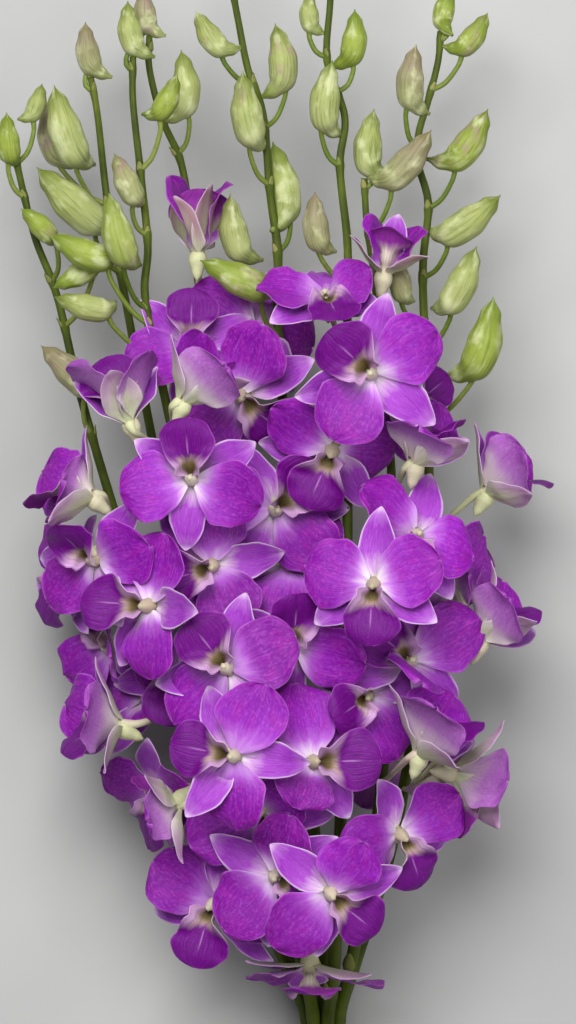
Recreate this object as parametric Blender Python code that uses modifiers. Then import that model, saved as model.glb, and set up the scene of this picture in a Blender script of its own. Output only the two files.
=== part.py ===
"""A tied bunch of cut dendrobium orchid sprays, lying on its back.

Lengths in the tables are millimetres. X runs across the bunch, Y from the cut ends
to the tips, and Z up from the surface it lies on. The origin is the flat spot of the
tie, on the underside of the stems.
"""
import math
import random
from collections import namedtuple

import bmesh
import bpy
from mathutils import Matrix, Vector
from mathutils.bvhtree import BVHTree

MM = 0.001
SEED = 11

# Tie round the stems
TIE_SIDES = 16
TIE_LENGTH = 24.0
TIE_INNER = 9.9
TIE_WALL = 1.8
TIE_HEIGHT = TIE_INNER + TIE_WALL

# Stems
STEM_RADIUS = 2.7
CENTRE_STEM_RADIUS = 3.1
STEM_TIP_RADIUS = 1.3
STEM_CIRCLE = 6.75
STRAIGHT_HALF = 15.0
CUT_Y = -140.0
CUT_SPREAD_X = 2.1
CUT_SPREAD_Z = 1.3
CUT_STAGGER = 9.0

# Flowers
PETAL_LENGTH = 29.0
PETAL_WIDTH = 29.0
SEPAL_LENGTH = 29.0
SEPAL_WIDTH = 16.0
LIP_LENGTH = 25.0
LIP_WIDTH = 24.0
LIP_CUP = 1.1
PETAL_BROADEST = 0.52
BLADE_THICKNESS = 1.4
ROOT_RADIUS = 1.5
SEPAL_SET_BACK = 2.2
HUB_RADIUS = 3.2
HUB_FRONT = 7.0
HUB_TIP = 3.6
HUB_BACK = 1.6
CHIN_LENGTH = 11.0
CHIN_OFFSET = 4.4
CHIN_RADII = (0.0, 3.9, 0.0)

# Stalks, which stop a touch away from the stem that carries them
STALK_RADIUS = 1.15
STALK_SIDE = 1.8
STALK_END = 5.0
STALK_LEVEL = 0.25
TOUCH_GAP = 0.45

# Buds, whose thickness grows with their length
BUD_LIFT = 3.0
BUD_SLOPE = 0.19
BUD_LEAST = 1.3
BUD_RADII = (0.0, 0.56, 0.97, 1.0, 0.62, 0.0)
BUD_STALK_RADII = (0.0, 1.05, 1.0, 1.2, 0.0)
STALK_BOW = 4.5

# Room kept round a flower's blades and stalk, and how many stems a stalk may go to
CLEARANCE = 0.8
STALK_CLEARANCE = 0.25
SPRAYS_TRIED = 4

# Surface that the bunch lies on
FLOOR_LEVEL = 0.9
FLOOR_SOFTNESS = 9.0

# Places along each blade, from its root to its tip, where its outline has a corner
PETAL_ROWS = (0.0, 0.2, 0.46, 0.73, 0.92, 1.0)
SEPAL_ROWS = (0.0, 0.36, 0.74, 1.0)
LIP_ROWS = (0.0, 0.22, 0.5, 0.8, 0.95, 1.0)

# Kind of blade, its angle from the top of the flower, how far forward it stands, its
# length and width, and in degrees how much wider it opens than the flower and how far it
# curls, and then its cup.
BLADE_PLAN = (
    ("lip", 180, 0.4, LIP_LENGTH, LIP_WIDTH, -24, 34, 0.0),
    ("petal", 76, 0.0, PETAL_LENGTH, PETAL_WIDTH, -1, 9, 0.07),
    ("petal", -76, 0.0, PETAL_LENGTH, PETAL_WIDTH, -1, 9, 0.07),
    ("sepal", 0, -SEPAL_SET_BACK, SEPAL_LENGTH, SEPAL_WIDTH, 8, 4, 0.2),
    ("sepal", 122, -SEPAL_SET_BACK, SEPAL_LENGTH, SEPAL_WIDTH, 10, 2, 0.16),
    ("sepal", -122, -SEPAL_SET_BACK, SEPAL_LENGTH, SEPAL_WIDTH, 10, 2, 0.16),
)

# Ranges of the random differences between blades
ANGLE_RANGE = (-8, 8)
LENGTH_RANGE = (0.95, 1.04)
WIDTH_RANGE = (0.92, 1.05)
OPEN_RANGE = (-13, 9)
CURL_RANGE = (-14, 14)
CUP_RANGE = (-0.06, 0.12)
TWIST_RANGE = (-26, 26)
HALF_OPEN = 60
SHUT_LIP = 0.6

Spray = namedtuple("Spray", "name slot route buds")
Bloom = namedtuple("Bloom", "x y z lip toward lean open spray size")

# Slot 0 is the middle of the tie, and the others go round it. A route is the stem
# above the tie. A bud is base x, y, z, tip x, y, and the y where its stalk leaves the stem.
SPRAYS = (
    Spray("spray_far_left", 1, (
        (-16, 40, 22), (-34, 90, 38), (-58, 150, 50), (-80, 210, 56), (-98, 270, 58),
        (-108, 312, 58), (-117, 336, 58), (-123, 360, 58), (-126, 374, 58),
    ), (
        (-127, 368, 64, -128, 386, 352), (-118, 385, 58, -114, 398, 366),
        (-110, 336, 70, -122, 347, 318), (-93, 324, 72, -109, 315, 300),
        (-95, 275, 70, -114, 292, 256),
    )),
    Spray("spray_left", 2, (
        (-12, 40, 14), (-28, 90, 28), (-46, 150, 38), (-61, 210, 42), (-73, 270, 44),
        (-81, 312, 45), (-88, 350, 46), (-92, 385, 46), (-95, 402, 46),
    ), (
        (-109, 369, 40, -113, 392, 350), (-101, 368, 64, -109, 397, 346),
        (-93, 341, 62, -116, 364, 322), (-95, 405, 46, -97, 424, 396),
    )),
    Spray("spray_left_front", 7, (
        (-9, 40, 28), (-20, 90, 48), (-36, 150, 62), (-50, 210, 69), (-64, 270, 73),
        (-72, 310, 75), (-71, 332, 76), (-74, 362, 75), (-77, 390, 74), (-77, 408, 73),
    ), (
        (-77, 411, 73, -79, 430, 402), (-66, 384, 80, -59, 400, 362),
        (-76, 350, 88, -84, 368, 336), (-80, 326, 92, -86, 352, 306),
        (-88, 325, 82, -110, 336, 300), (-88, 305, 84, -108, 311, 288),
    )),
    Spray("spray_left_back", 3, (
        (-1, 40, 10), (-8, 90, 22), (-20, 150, 34), (-32, 210, 42), (-43, 270, 48),
        (-50, 310, 50), (-54, 340, 50), (-58, 366, 51), (-66, 385, 52), (-71, 405, 52),
        (-71, 418, 52),
    ), (
        (-56, 388, 54, -58, 412, 370), (-72, 421, 52, -73, 438, 412),
    )),
    Spray("spray_middle", 0, (
        (0, 40, 20), (-4, 90, 38), (-10, 150, 52), (-14, 210, 58), (-17, 270, 60),
        (-19, 302, 60), (-19, 330, 60), (-22, 354, 60), (-25, 386, 60), (-31, 404, 60),
        (-35, 424, 60), (-38, 440, 60),
    ), (
        (-42, 411, 62, -52, 427, 398), (-30, 375, 72, -33, 402, 357),
        (-16, 398, 62, -20, 422, 380), (-15, 346, 52, -21, 375, 330),
        (-35, 329, 68, -38, 353, 312), (-25, 314, 76, -50, 326, 296),
        (-38, 443, 60, -39, 456, 434),
    )),
    Spray("spray_right_front", 6, (
        (4, 40, 32), (6, 90, 54), (8, 150, 66), (9, 210, 70), (9, 270, 71), (9, 310, 71),
        (9, 334, 70), (6, 364, 70), (8, 384, 69), (1, 406, 68), (2, 428, 68), (3, 440, 68),
    ), (
        (-6, 420, 68, -6, 434, 408), (11, 407, 70, 12, 427, 394),
        (-1, 381, 76, 3, 406, 364), (-3, 332, 80, -4, 353, 318),
        (3, 443, 68, 4, 455, 436),
    )),
    Spray("spray_right", 5, (
        (11, 40, 24), (20, 90, 42), (26, 150, 54), (28, 210, 58), (25, 270, 59),
        (20, 320, 58), (17, 342, 57), (16, 360, 56),
    ), (
        (17, 364, 56, 20, 388, 356), (27, 358, 64, 43, 379, 338),
    )),
    Spray("spray_far_right", 4, (
        (13, 40, 14), (28, 90, 28), (38, 150, 40), (42, 210, 46), (42, 270, 50),
        (40, 310, 52), (40, 328, 52), (42, 350, 52), (38, 366, 52), (38, 378, 52),
        (42, 392, 52), (46, 408, 52), (47, 420, 52),
    ), (
        (47, 423, 52, 52, 438, 416), (56, 412, 54, 66, 427, 396),
        (34, 391, 56, 37, 414, 372), (53, 366, 56, 66, 388, 348),
        (50, 336, 60, 71, 353, 320), (51, 308, 66, 61, 332, 292),
        (31, 312, 62, 30, 329, 300), (61, 282, 62, 68, 312, 262),
    )),
)

# x, y and z of the middle of the face, the direction of the lip in the picture plane,
# the direction and angle that the face leans to, how open it is in degrees, the spray
# that carries it and its size.
BLOOMS = (
    Bloom(18, 280, 108, 142, 300, 8, 84, 5, 1.05),
    Bloom(0, 311, 88, 280, 95, 38, 70, 5, 0.9),
    Bloom(-53, 238, 104, 84, 180, 8, 84, 2, 0.98),
    Bloom(3, 250, 86, 243, 250, 22, 82, 4, 1.02),
    Bloom(19, 197, 112, 268, 200, 10, 84, 5, 0.98),
    Bloom(-45, 204, 84, 188, 300, 12, 82, 3, 1.02),
    Bloom(-70, 188, 94, 178, 185, 34, 80, 2, 1.02),
    Bloom(-39, 163, 102, 128, 140, 12, 82, 2, 1.02),
    Bloom(-36, 129, 114, 174, 190, 10, 86, 2, 1.0),
    Bloom(-5, 126, 98, 2, 30, 12, 82, 5, 1.05),
    Bloom(2, 74, 98, 323, 290, 14, 84, 5, 1.0),
    Bloom(-20, 80, 88, 330, 200, 14, 80, 4, 1.0),
    Bloom(-44, 68, 70, 250, 200, 34, 78, 3, 1.05),
    Bloom(30, 96, 72, 300, 330, 40, 78, 6, 0.95),
    Bloom(53, 120, 66, 250, 330, 112, 70, 7, 1.0),
    Bloom(38, 130, 92, 322, 50, 80, 46, 6, 1.1),
    Bloom(63, 175, 74, 318, 46, 84, 48, 7, 1.05),
    Bloom(36, 216, 94, 240, 40, 30, 82, 6, 0.98),
    Bloom(50, 198, 70, 300, 20, 56, 76, 7, 0.95),
    Bloom(36, 246, 90, 328, 58, 80, 44, 6, 1.05),
    Bloom(66, 234, 62, 310, 40, 84, 50, 7, 1.0),
    Bloom(24, 322, 72, 260, 80, 76, 24, 6, 0.85),
    Bloom(-51, 330, 66, 268, 88, 78, 12, 3, 1.05),
    Bloom(-78, 262, 104, 292, 112, 90, 30, 2, 1.05),
    Bloom(-56, 270, 110, 236, 52, 92, 36, 2, 1.0),
    Bloom(-94, 232, 84, 252, 160, 84, 48, 0, 1.05),
    Bloom(-102, 200, 58, 215, 172, 70, 72, 0, 0.97),
    Bloom(-92, 206, 84, 120, 200, 30, 80, 0, 0.97),
    Bloom(-83, 140, 78, 262, 172, 82, 52, 1, 1.05),
    Bloom(-68, 112, 52, 250, 215, 56, 74, 1, 0.9),
    Bloom(-60, 108, 84, 60, 200, 100, 60, 2, 0.8),
    Bloom(-54, 290, 74, 85, 60, 12, 80, 3, 0.95),
    Bloom(-28, 298, 60, 250, 120, 16, 82, 4, 1.05),
    Bloom(-13, 172, 88, 90, 270, 14, 80, 4, 1.02),
    Bloom(34, 166, 84, 140, 350, 18, 80, 6, 1.05),
    Bloom(-26, 106, 84, 300, 240, 20, 82, 4, 1.02),
    Bloom(-34, 272, 80, 320, 250, 14, 82, 4, 1.05),
    Bloom(-20, 226, 76, 60, 300, 12, 82, 4, 1.02),
    Bloom(34, 268, 72, 30, 340, 30, 78, 6, 0.8),
    Bloom(-86, 170, 60, 100, 190, 50, 76, 0, 0.9),
    Bloom(-14, 204, 68, 150, 90, 15, 80, 4, 1.02),
    Bloom(-60, 196, 20, 120, 190, 160, 74, 1, 0.95),
    Bloom(42, 204, 19, 250, 0, 160, 74, 7, 0.95),
    Bloom(-34, 112, 19, 300, 220, 160, 74, 1, 0.95),
    Bloom(22, 132, 16, 160, 300, 162, 74, 3, 1.0),
    Bloom(-6, 40, 56, 90, 270, 76, 76, 4, 1.0),
    Bloom(-72, 150, 52, 60, 150, 26, 80, 1, 0.95),
    Bloom(17, 152, 80, 200, 320, 16, 80, 5, 0.95),
    Bloom(-58, 160, 66, 250, 200, 16, 82, 2, 0.95),
)

# Bend in degrees and share of the length that a blade may take to come clear of the
# flowers round it, the least change first.
BENDS = (0, -9, 9, -18, 18, -28, 28, -40, 40, -54)
SHARES = (1.0, 0.88, 0.76, 0.62)
STALK_DROPS = (14, 20, 8, 27, 2, 35, -5, 44)
STALK_LOOPS = (9.0, 14.0, 5.0)
THINNING = (0.63, 0.7, 0.8, 0.9, 1.0)


def smooth(low, high, value):
    t = min(1.0, max(0.0, (value - low) / (high - low)))
    return t * t * (3.0 - 2.0 * t)


def above_floor(point):
    """Flattens what hangs towards the surface, so that it lies on it."""
    high = FLOOR_LEVEL + FLOOR_SOFTNESS
    if point.z < high:
        point.z = FLOOR_LEVEL + FLOOR_SOFTNESS * math.exp((point.z - high) / FLOOR_SOFTNESS)
    return point


# Outline and form of the blades

def petal_width(v):
    fan = 0.14 + 0.86 * math.sin(0.5 * math.pi * min(1.0, v / PETAL_BROADEST))
    past = max(0.0, v - PETAL_BROADEST) / (1.0 - PETAL_BROADEST)
    return fan * math.sqrt(max(0.0, 1.0 - past * past))


def sepal_width(v):
    claw = 0.62 + 0.38 * smooth(0.0, 0.3, v)
    return claw * max(0.0, math.sin(math.pi * v ** 0.8)) ** 0.7


def lip_width(v):
    side_lobes = 0.6 * math.exp(-((v - 0.22) / 0.15) ** 2)
    mid_lobe = math.sqrt(max(0.0, 1.0 - ((v - 0.63) / 0.37) ** 2))
    return (side_lobes ** 3 + mid_lobe ** 3) ** (1.0 / 3.0)


WIDTHS = {"petal": petal_width, "sepal": sepal_width, "lip": lip_width}
ROWS = {"petal": PETAL_ROWS, "sepal": SEPAL_ROWS, "lip": LIP_ROWS}

Blade = namedtuple("Blade", "kind root face out length width open curl cup twist")


def blade_frame(blade, v):
    """Middle of the blade at v, with the directions across it and out of its face."""
    side = blade.face.cross(blade.out)
    curl = blade.curl if abs(blade.curl) > 0.01 else 0.01
    angle = blade.open + curl * v
    reach = blade.length / curl
    out = reach * (math.cos(blade.open) - math.cos(angle))
    rise = reach * (math.sin(angle) - math.sin(blade.open))
    normal = math.sin(angle) * blade.face - math.cos(angle) * blade.out
    turn = blade.twist * v
    across = math.cos(turn) * side + math.sin(turn) * normal
    normal = math.cos(turn) * normal - math.sin(turn) * side
    return blade.root + out * blade.out + rise * blade.face, across, normal


def blade_point(blade, u, v, grow=0.0):
    """A point of the blade's middle surface, u from -1 to 1 across and v from 0 to 1 along."""
    middle, across, normal = blade_frame(blade, v)
    half = 0.5 * blade.width * WIDTHS[blade.kind](v) + grow
    cup = blade.cup
    if blade.kind == "lip":
        cup = LIP_CUP * smooth(0.55, 0.3, v) - 0.18 * smooth(0.55, 0.8, v)
    narrow = 1.0 - 0.25 * max(0.0, cup) / LIP_CUP if blade.kind == "lip" else 1.0
    return above_floor(middle + u * half * narrow * across + cup * half * u * u * normal)


def ball(segments, rings):
    """A ball's triangles, with the ring and the place round it of each corner. Quads are
    split towards the same corner on both faces of a blade."""
    bm = bmesh.new()
    bmesh.ops.create_uvsphere(bm, u_segments=segments, v_segments=rings, radius=1.0)
    spots = {}
    for vert in bm.verts:
        ring = round(math.acos(max(-1.0, min(1.0, vert.co.z))) / math.pi * rings)
        turn = round(math.atan2(vert.co.y, vert.co.x) / (2 * math.pi) * segments) % segments
        spots[vert] = (ring, 0 if ring in (0, rings) else turn)
    for face in [f for f in bm.faces if len(f.verts) == 4]:
        first = min(spots[v][0] for v in face.verts)
        edge = [v for v in face.verts if spots[v][0] == first and spots[v][1] % 2 == 0]
        middle = [v for v in face.verts if spots[v][0] != first and spots[v][1] % 2 == 1]
        if edge and middle and segments % 2 == 0:
            bmesh.utils.face_split(face, edge[0], middle[0])
    bmesh.ops.triangulate(bm, faces=bm.faces)
    bm.verts.index_update()
    corners = [spots[v] for v in bm.verts]
    faces = [tuple(v.index for v in f.verts) for f in bm.faces]
    bm.free()
    return corners, faces


BALLS = {}


def ball_of(segments, rings):
    if (segments, rings) not in BALLS:
        BALLS[segments, rings] = ball(segments, rings)
    return BALLS[segments, rings]


def blade_solid(blade, grow=0.0):
    """Corners and triangles of a blade, thickest along its midrib."""
    rows = ROWS[blade.kind]
    corners, faces = ball_of(4, len(rows) - 1)
    half = 0.5 * (BLADE_THICKNESS + grow)
    places = []
    for ring, turn in corners:
        v = rows[ring]
        if ring == 0:
            places.append(blade_point(blade, 0, 0))
        elif ring == len(rows) - 1:
            tip, _, _ = blade_frame(blade, 1.0 + 0.5 * grow / blade.length)
            places.append(above_floor(tip))
        elif turn in (0, 2):
            places.append(blade_point(blade, 1 - turn, v, 0.5 * grow))
        else:
            _, _, normal = blade_frame(blade, v)
            side = half if turn == 1 else -half
            places.append(blade_point(blade, 0, v) + side * normal)
    return places, faces


def turned_solid(segments, spine, radii):
    """A closed solid round a spine of points, pointed at both ends."""
    corners, faces = ball_of(segments, len(spine) - 1)
    places = []
    side = Vector((0.31, 0.17, 0.93))
    frames = []
    for ring in range(len(spine)):
        after = spine[min(ring + 1, len(spine) - 1)]
        along = (after - spine[max(ring - 1, 0)]).normalized()
        side = (side - side.dot(along) * along).normalized()
        frames.append((side.copy(), along.cross(side)))
    for ring, turn in corners:
        side, other = frames[ring]
        angle = 2 * math.pi * turn / segments
        places.append(spine[ring] + radii[ring] * (math.cos(angle) * side + math.sin(angle) * other))
    return places, faces


def bud_stalk(foot, base, tip):
    """Spine and radii of a bud's stalk, bowed out and down, which ends inside the bud."""
    along = tip - base
    reach = base - foot
    out = Vector((reach.y, -reach.x, 0)) if reach.x > 0 else Vector((-reach.y, reach.x, 0))
    bow = foot.lerp(base, 0.5) + STALK_BOW * out.normalized()
    spine = [foot, foot.lerp(bow, 0.6), bow.lerp(base, 0.5), base - 0.02 * along, base + 0.22 * along]
    return spine, BUD_STALK_RADII


def bud_body(stem, base, tip):
    """Spine and radii of a bud: a chin that points back towards the stem, a full body
    and a pointed tip."""
    along = tip - base
    length = along.length
    side = stem - base
    side -= side.dot(along) / length ** 2 * along
    side = length * side.normalized() if side.length > 1.0 else Vector((length, 0, 0))
    full = BUD_SLOPE * length + BUD_LEAST
    spine = [base - 0.17 * along + 0.44 * side, base - 0.08 * along + 0.21 * side,
             base + 0.1 * along + 0.03 * side, base + 0.4 * along - 0.03 * side,
             base + 0.75 * along - 0.02 * side, tip]
    return spine, [full * share for share in BUD_RADII]


def hub_shape(middle, face, lip, stalk):
    """Spine and radii of a flower's middle and stalk, from the column in front to the
    flat end of the stalk."""
    spine = [middle + HUB_FRONT * face + HUB_TIP * lip,
             middle + 0.6 * HUB_FRONT * face + 0.35 * HUB_TIP * lip,
             middle - HUB_BACK * face] + stalk + [stalk[-1]]
    return spine, [0.0, 0.9 * HUB_RADIUS, HUB_RADIUS] + [STALK_RADIUS] * len(stalk) + [0.0]


def chin_spine(middle, face, lip):
    """The spur behind a flower, on the side of its lip."""
    return [middle + 1.0 * face + 0.5 * lip, middle - 3.4 * face + 1.9 * lip,
            middle - CHIN_LENGTH * face + CHIN_OFFSET * lip]


# Placing

def slot_place(slot):
    """Where a stem passes through the tie."""
    if slot == 0:
        return 0.0, TIE_HEIGHT
    angle = math.pi + 2 * math.pi * (slot - 1) / 7
    return STEM_CIRCLE * math.cos(angle), TIE_HEIGHT + STEM_CIRCLE * math.sin(angle)


def stem_route(spray):
    x, z = slot_place(spray.slot)
    cut_z = TIE_HEIGHT + (z - TIE_HEIGHT) * CUT_SPREAD_Z
    cut = (x * CUT_SPREAD_X, CUT_Y - CUT_STAGGER * (spray.slot % 3), cut_z)
    lower = [cut, (x, -STRAIGHT_HALF, z)]
    upper = [(x, STRAIGHT_HALF, z)] + list(spray.route)
    return [Vector(p) for p in lower + upper]


def stem_radius(spray, y):
    thick = CENTRE_STEM_RADIUS if spray.slot == 0 else STEM_RADIUS
    top = spray.route[-1][1]
    share = min(1.0, max(0.0, (y - STRAIGHT_HALF) / (top - STRAIGHT_HALF)))
    return thick + (STEM_TIP_RADIUS - thick) * share


def stem_at(spray, y):
    """The point of the stem's middle at a distance y from the tie."""
    route = stem_route(spray)
    for a, b in zip(route, route[1:]):
        if a.y <= y <= b.y:
            return a + (b - a) * ((y - a.y) / (b.y - a.y))
    return route[-1].copy()


def flower_axes(bloom):
    """The directions that a bloom faces and that its lip hangs in."""
    toward = Vector((math.cos(math.radians(bloom.toward)), math.sin(math.radians(bloom.toward)), 0))
    lean = math.radians(bloom.lean)
    face = math.cos(lean) * Vector((0, 0, 1)) + math.sin(lean) * toward
    hang = Vector((math.cos(math.radians(bloom.lip)), math.sin(math.radians(bloom.lip)), 0))
    hang -= hang.dot(face) * face
    if hang.length < 0.05:
        hang = Vector((0, 0, -1)) - Vector((0, 0, -1)).dot(face) * face
    return face, hang.normalized()


def bloom_blades(bloom, middle, number):
    """The six blades of a bloom, before any of them is bent clear."""
    face, lip = flower_axes(bloom)
    draw = random.Random(SEED * 1000 + number)
    blades = []
    for kind, angle, forward, length, width, open_more, curl, cup in BLADE_PLAN:
        turn = Matrix.Rotation(math.radians(angle + draw.uniform(*ANGLE_RANGE)), 3, face)
        out = turn @ -lip
        closing = bloom.open * (SHUT_LIP if kind == "lip" and bloom.open < HALF_OPEN else 1.0)
        root = middle + forward * face + ROOT_RADIUS * out
        blades.append(Blade(
            kind, root, face, out, bloom.size * length * draw.uniform(*LENGTH_RANGE),
            bloom.size * width * draw.uniform(*WIDTH_RANGE),
            math.radians(closing + open_more + draw.uniform(*OPEN_RANGE)),
            math.radians(curl + draw.uniform(*CURL_RANGE)), cup + draw.uniform(*CUP_RANGE),
            math.radians(draw.uniform(*TWIST_RANGE)),
        ))
    return blades


def posed(blade, bend, share):
    return blade._replace(open=blade.open + math.radians(bend), length=blade.length * share,
                          width=blade.width * (0.5 + 0.5 * share))


def stalk_route(bloom, middle, spray, drop, loop):
    """A bloom's stalk, from behind its middle to a touch away from its stem."""
    face, lip = flower_axes(bloom)
    behind = middle - loop * face - STALK_SIDE * lip
    foot = stem_at(spray, middle.y - drop)
    away = behind - foot
    away.y = STALK_LEVEL * away.y
    away.normalize()
    radius = stem_radius(spray, foot.y)
    end = foot + (radius + TOUCH_GAP) * away
    before = end + STALK_END * away
    return [above_floor(behind), above_floor(behind.lerp(before, 0.55)), above_floor(before), end]


# Meshes

def tube_mesh(name, route, radii, roundness):
    """A tube along a route as a closed mesh, in metres."""
    curve = bpy.data.curves.new(name, "CURVE")
    curve.dimensions = "3D"
    curve.bevel_depth = MM
    curve.bevel_resolution = roundness
    curve.use_fill_caps = True
    spline = curve.splines.new("POLY")
    spline.points.add(len(route) - 1)
    for point, place, radius in zip(spline.points, route, radii):
        point.co = (*(place * MM), 1.0)
        point.radius = radius
    holder = bpy.data.objects.new(name, curve)
    bpy.context.scene.collection.objects.link(holder)
    ready = holder.evaluated_get(bpy.context.evaluated_depsgraph_get())
    mesh = bpy.data.meshes.new_from_object(ready)
    mesh.transform(holder.matrix_world)
    bpy.data.objects.remove(holder)
    bpy.data.curves.remove(curve)
    bm = bmesh.new()
    bm.from_mesh(mesh)
    bmesh.ops.remove_doubles(bm, verts=bm.verts, dist=1e-6)
    bmesh.ops.triangulate(bm, faces=bm.faces)
    bmesh.ops.recalc_face_normals(bm, faces=bm.faces)
    bm.to_mesh(mesh)
    bm.free()
    return mesh


def mesh_solid(mesh):
    """Corners in millimetres and faces of a mesh in metres."""
    return [v.co / MM for v in mesh.vertices], [tuple(p.vertices) for p in mesh.polygons]


def solid_mesh(name, solid):
    """A mesh in metres from corners in millimetres and triangles."""
    places, faces = solid
    mesh = bpy.data.meshes.new(name)
    mesh.from_pydata([tuple(p * MM) for p in places], [], faces)
    bm = bmesh.new()
    bm.from_mesh(mesh)
    bmesh.ops.recalc_face_normals(bm, faces=bm.faces)
    bm.to_mesh(mesh)
    bm.free()
    return mesh


class Obstacles:
    """What stands already, with the node it belongs to."""

    def __init__(self):
        self.items = []

    def add(self, owner, places, faces):
        tree = BVHTree.FromPolygons(places, faces)
        low = Vector([min(p[i] for p in places) for i in range(3)])
        high = Vector([max(p[i] for p in places) for i in range(3)])
        self.items.append((owner, low, high, tree))

    def hits(self, owner, places, faces):
        low = [min(p[i] for p in places) for i in range(3)]
        high = [max(p[i] for p in places) for i in range(3)]
        tree = None
        count = 0
        for other, other_low, other_high, other_tree in self.items:
            if other == owner:
                continue
            if any(low[i] > other_high[i] or high[i] < other_low[i] for i in range(3)):
                continue
            tree = tree or BVHTree.FromPolygons(places, faces)
            count += len(tree.overlap(other_tree))
        return count


def joined(name, meshes, keep):
    """One closed object from overlapping closed meshes, with the slivers that the union
    leaves taken out as far as no face then crosses another."""
    crowd = bpy.data.collections.new(f"{name}_pieces")
    bpy.context.scene.collection.children.link(crowd)
    first, *rest = [bpy.data.objects.new(f"{name}_piece_{i}", m) for i, m in enumerate(meshes)]
    bpy.context.scene.collection.objects.link(first)
    for piece in rest:
        crowd.objects.link(piece)
    union = first.modifiers.new("union", "BOOLEAN")
    union.operation = "UNION"
    union.operand_type = "COLLECTION"
    union.collection = crowd
    thin = first.modifiers.new("thin", "DECIMATE")
    best = None
    for solver in ("EXACT", "MANIFOLD"):
        union.solver = solver
        for ratio in THINNING:
            thin.ratio = ratio
            ready = first.evaluated_get(bpy.context.evaluated_depsgraph_get())
            best = one_body(bpy.data.meshes.new_from_object(ready))
            if best:
                break
        if best:
            break
    for piece in [first] + rest:
        bpy.data.objects.remove(piece)
    bpy.data.collections.remove(crowd)
    if not best:
        raise ValueError(f"{name} does not join into one closed body")
    best.name = name
    thing = bpy.data.objects.new(name, best)
    keep.objects.link(thing)
    return thing


def crosses_itself(places, faces):
    tree = BVHTree.FromPolygons(places, faces)
    return any(not set(faces[a]) & set(faces[b]) for a, b in tree.overlap(tree))


def one_body(mesh):
    """The mesh with its largest body alone, or None where that body isn't closed."""
    bm = bmesh.new()
    bm.from_mesh(mesh)
    bmesh.ops.triangulate(bm, faces=bm.faces)
    groups = []
    seen = set()
    for face in bm.faces:
        if face in seen:
            continue
        group = {face}
        front = [face]
        while front:
            for edge in front.pop().edges:
                for other in edge.link_faces:
                    if other not in group:
                        group.add(other)
                        front.append(other)
        seen |= group
        groups.append(group)
    groups.sort(key=len)
    for group in groups[:-1]:
        bmesh.ops.delete(bm, geom=list(group), context="FACES")
    loose = [v for v in bm.verts if not v.link_faces]
    bmesh.ops.delete(bm, geom=loose, context="VERTS")
    closed = all(len(e.link_faces) == 2 for e in bm.edges)
    bmesh.ops.recalc_face_normals(bm, faces=bm.faces)
    bm.to_mesh(mesh)
    bm.free()
    return mesh if closed and not crosses_itself(*mesh_solid(mesh)) else None


def material(name, colour, roughness):
    made = bpy.data.materials.new(name)
    made.use_nodes = True
    shader = made.node_tree.nodes["Principled BSDF"]
    shader.inputs["Base Color"].default_value = (*colour, 1.0)
    shader.inputs["Roughness"].default_value = roughness
    shader.inputs["Metallic"].default_value = 0.0
    return made


def make_tie(collection, look):
    """A flat-sided band round the stems, open at both ends, with one flat down."""
    bm = bmesh.new()
    radius = (TIE_INNER + TIE_WALL) / math.cos(math.pi / TIE_SIDES) * MM
    bmesh.ops.create_cone(
        bm, cap_ends=False, segments=TIE_SIDES, radius1=radius, radius2=radius, depth=TIE_LENGTH * MM,
    )
    half_side = Matrix.Rotation(math.pi / TIE_SIDES, 4, "Z")
    lay = Matrix.Rotation(math.pi / 2, 4, "X")
    bm.transform(Matrix.Translation((0, 0, TIE_HEIGHT * MM)) @ lay @ half_side)
    mesh = bpy.data.meshes.new("tie")
    bm.to_mesh(mesh)
    bm.free()
    mesh.materials.append(look)
    tie = bpy.data.objects.new("tie", mesh)
    wall = tie.modifiers.new("wall", "SOLIDIFY")
    wall.thickness = TIE_WALL * MM
    wall.offset = -1.0
    wall.use_even_offset = True
    collection.objects.link(tie)
    return tie


def spray_meshes(spray):
    """A spray's stem, bud stalks and buds."""
    route = stem_route(spray)
    radii = [stem_radius(spray, p.y) for p in route]
    meshes = [tube_mesh("stem", route, radii, 1)]
    for x, y, z, tip_x, tip_y, leaves in spray.buds:
        tip = Vector((tip_x, tip_y, z + BUD_LIFT))
        base = Vector((x, y, z))
        stalk = bud_stalk(stem_at(spray, leaves), base, tip)
        body = bud_body(stem_at(spray, y), base, tip)
        meshes.append(solid_mesh("stalk", turned_solid(4, *stalk)))
        meshes.append(solid_mesh("bud", turned_solid(5, *body)))
    return meshes


def find_stalk(obstacles, name, bloom, middle):
    """The first stalk that reaches a stem clear of what stands, its own stem's first."""
    face, lip = flower_axes(bloom)
    sprays = [SPRAYS[bloom.spray]] + sorted(
        SPRAYS, key=lambda spray: (stem_at(spray, middle.y - STALK_DROPS[0]) - middle).length)
    for spray in sprays[:SPRAYS_TRIED]:
        for drop in STALK_DROPS:
            for loop in STALK_LOOPS:
                spine, radii = hub_shape(middle, face, lip, stalk_route(bloom, middle, spray, drop, loop))
                places, faces = turned_solid(5, spine, [r + STALK_CLEARANCE for r in radii])
                if crosses_itself(places, faces) or obstacles.hits(name, places, faces):
                    continue
                return turned_solid(5, spine, radii)
    return None


def clear_old():
    for thing in list(bpy.data.objects):
        bpy.data.objects.remove(thing)
    for group in list(bpy.data.collections):
        bpy.data.collections.remove(group)


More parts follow.
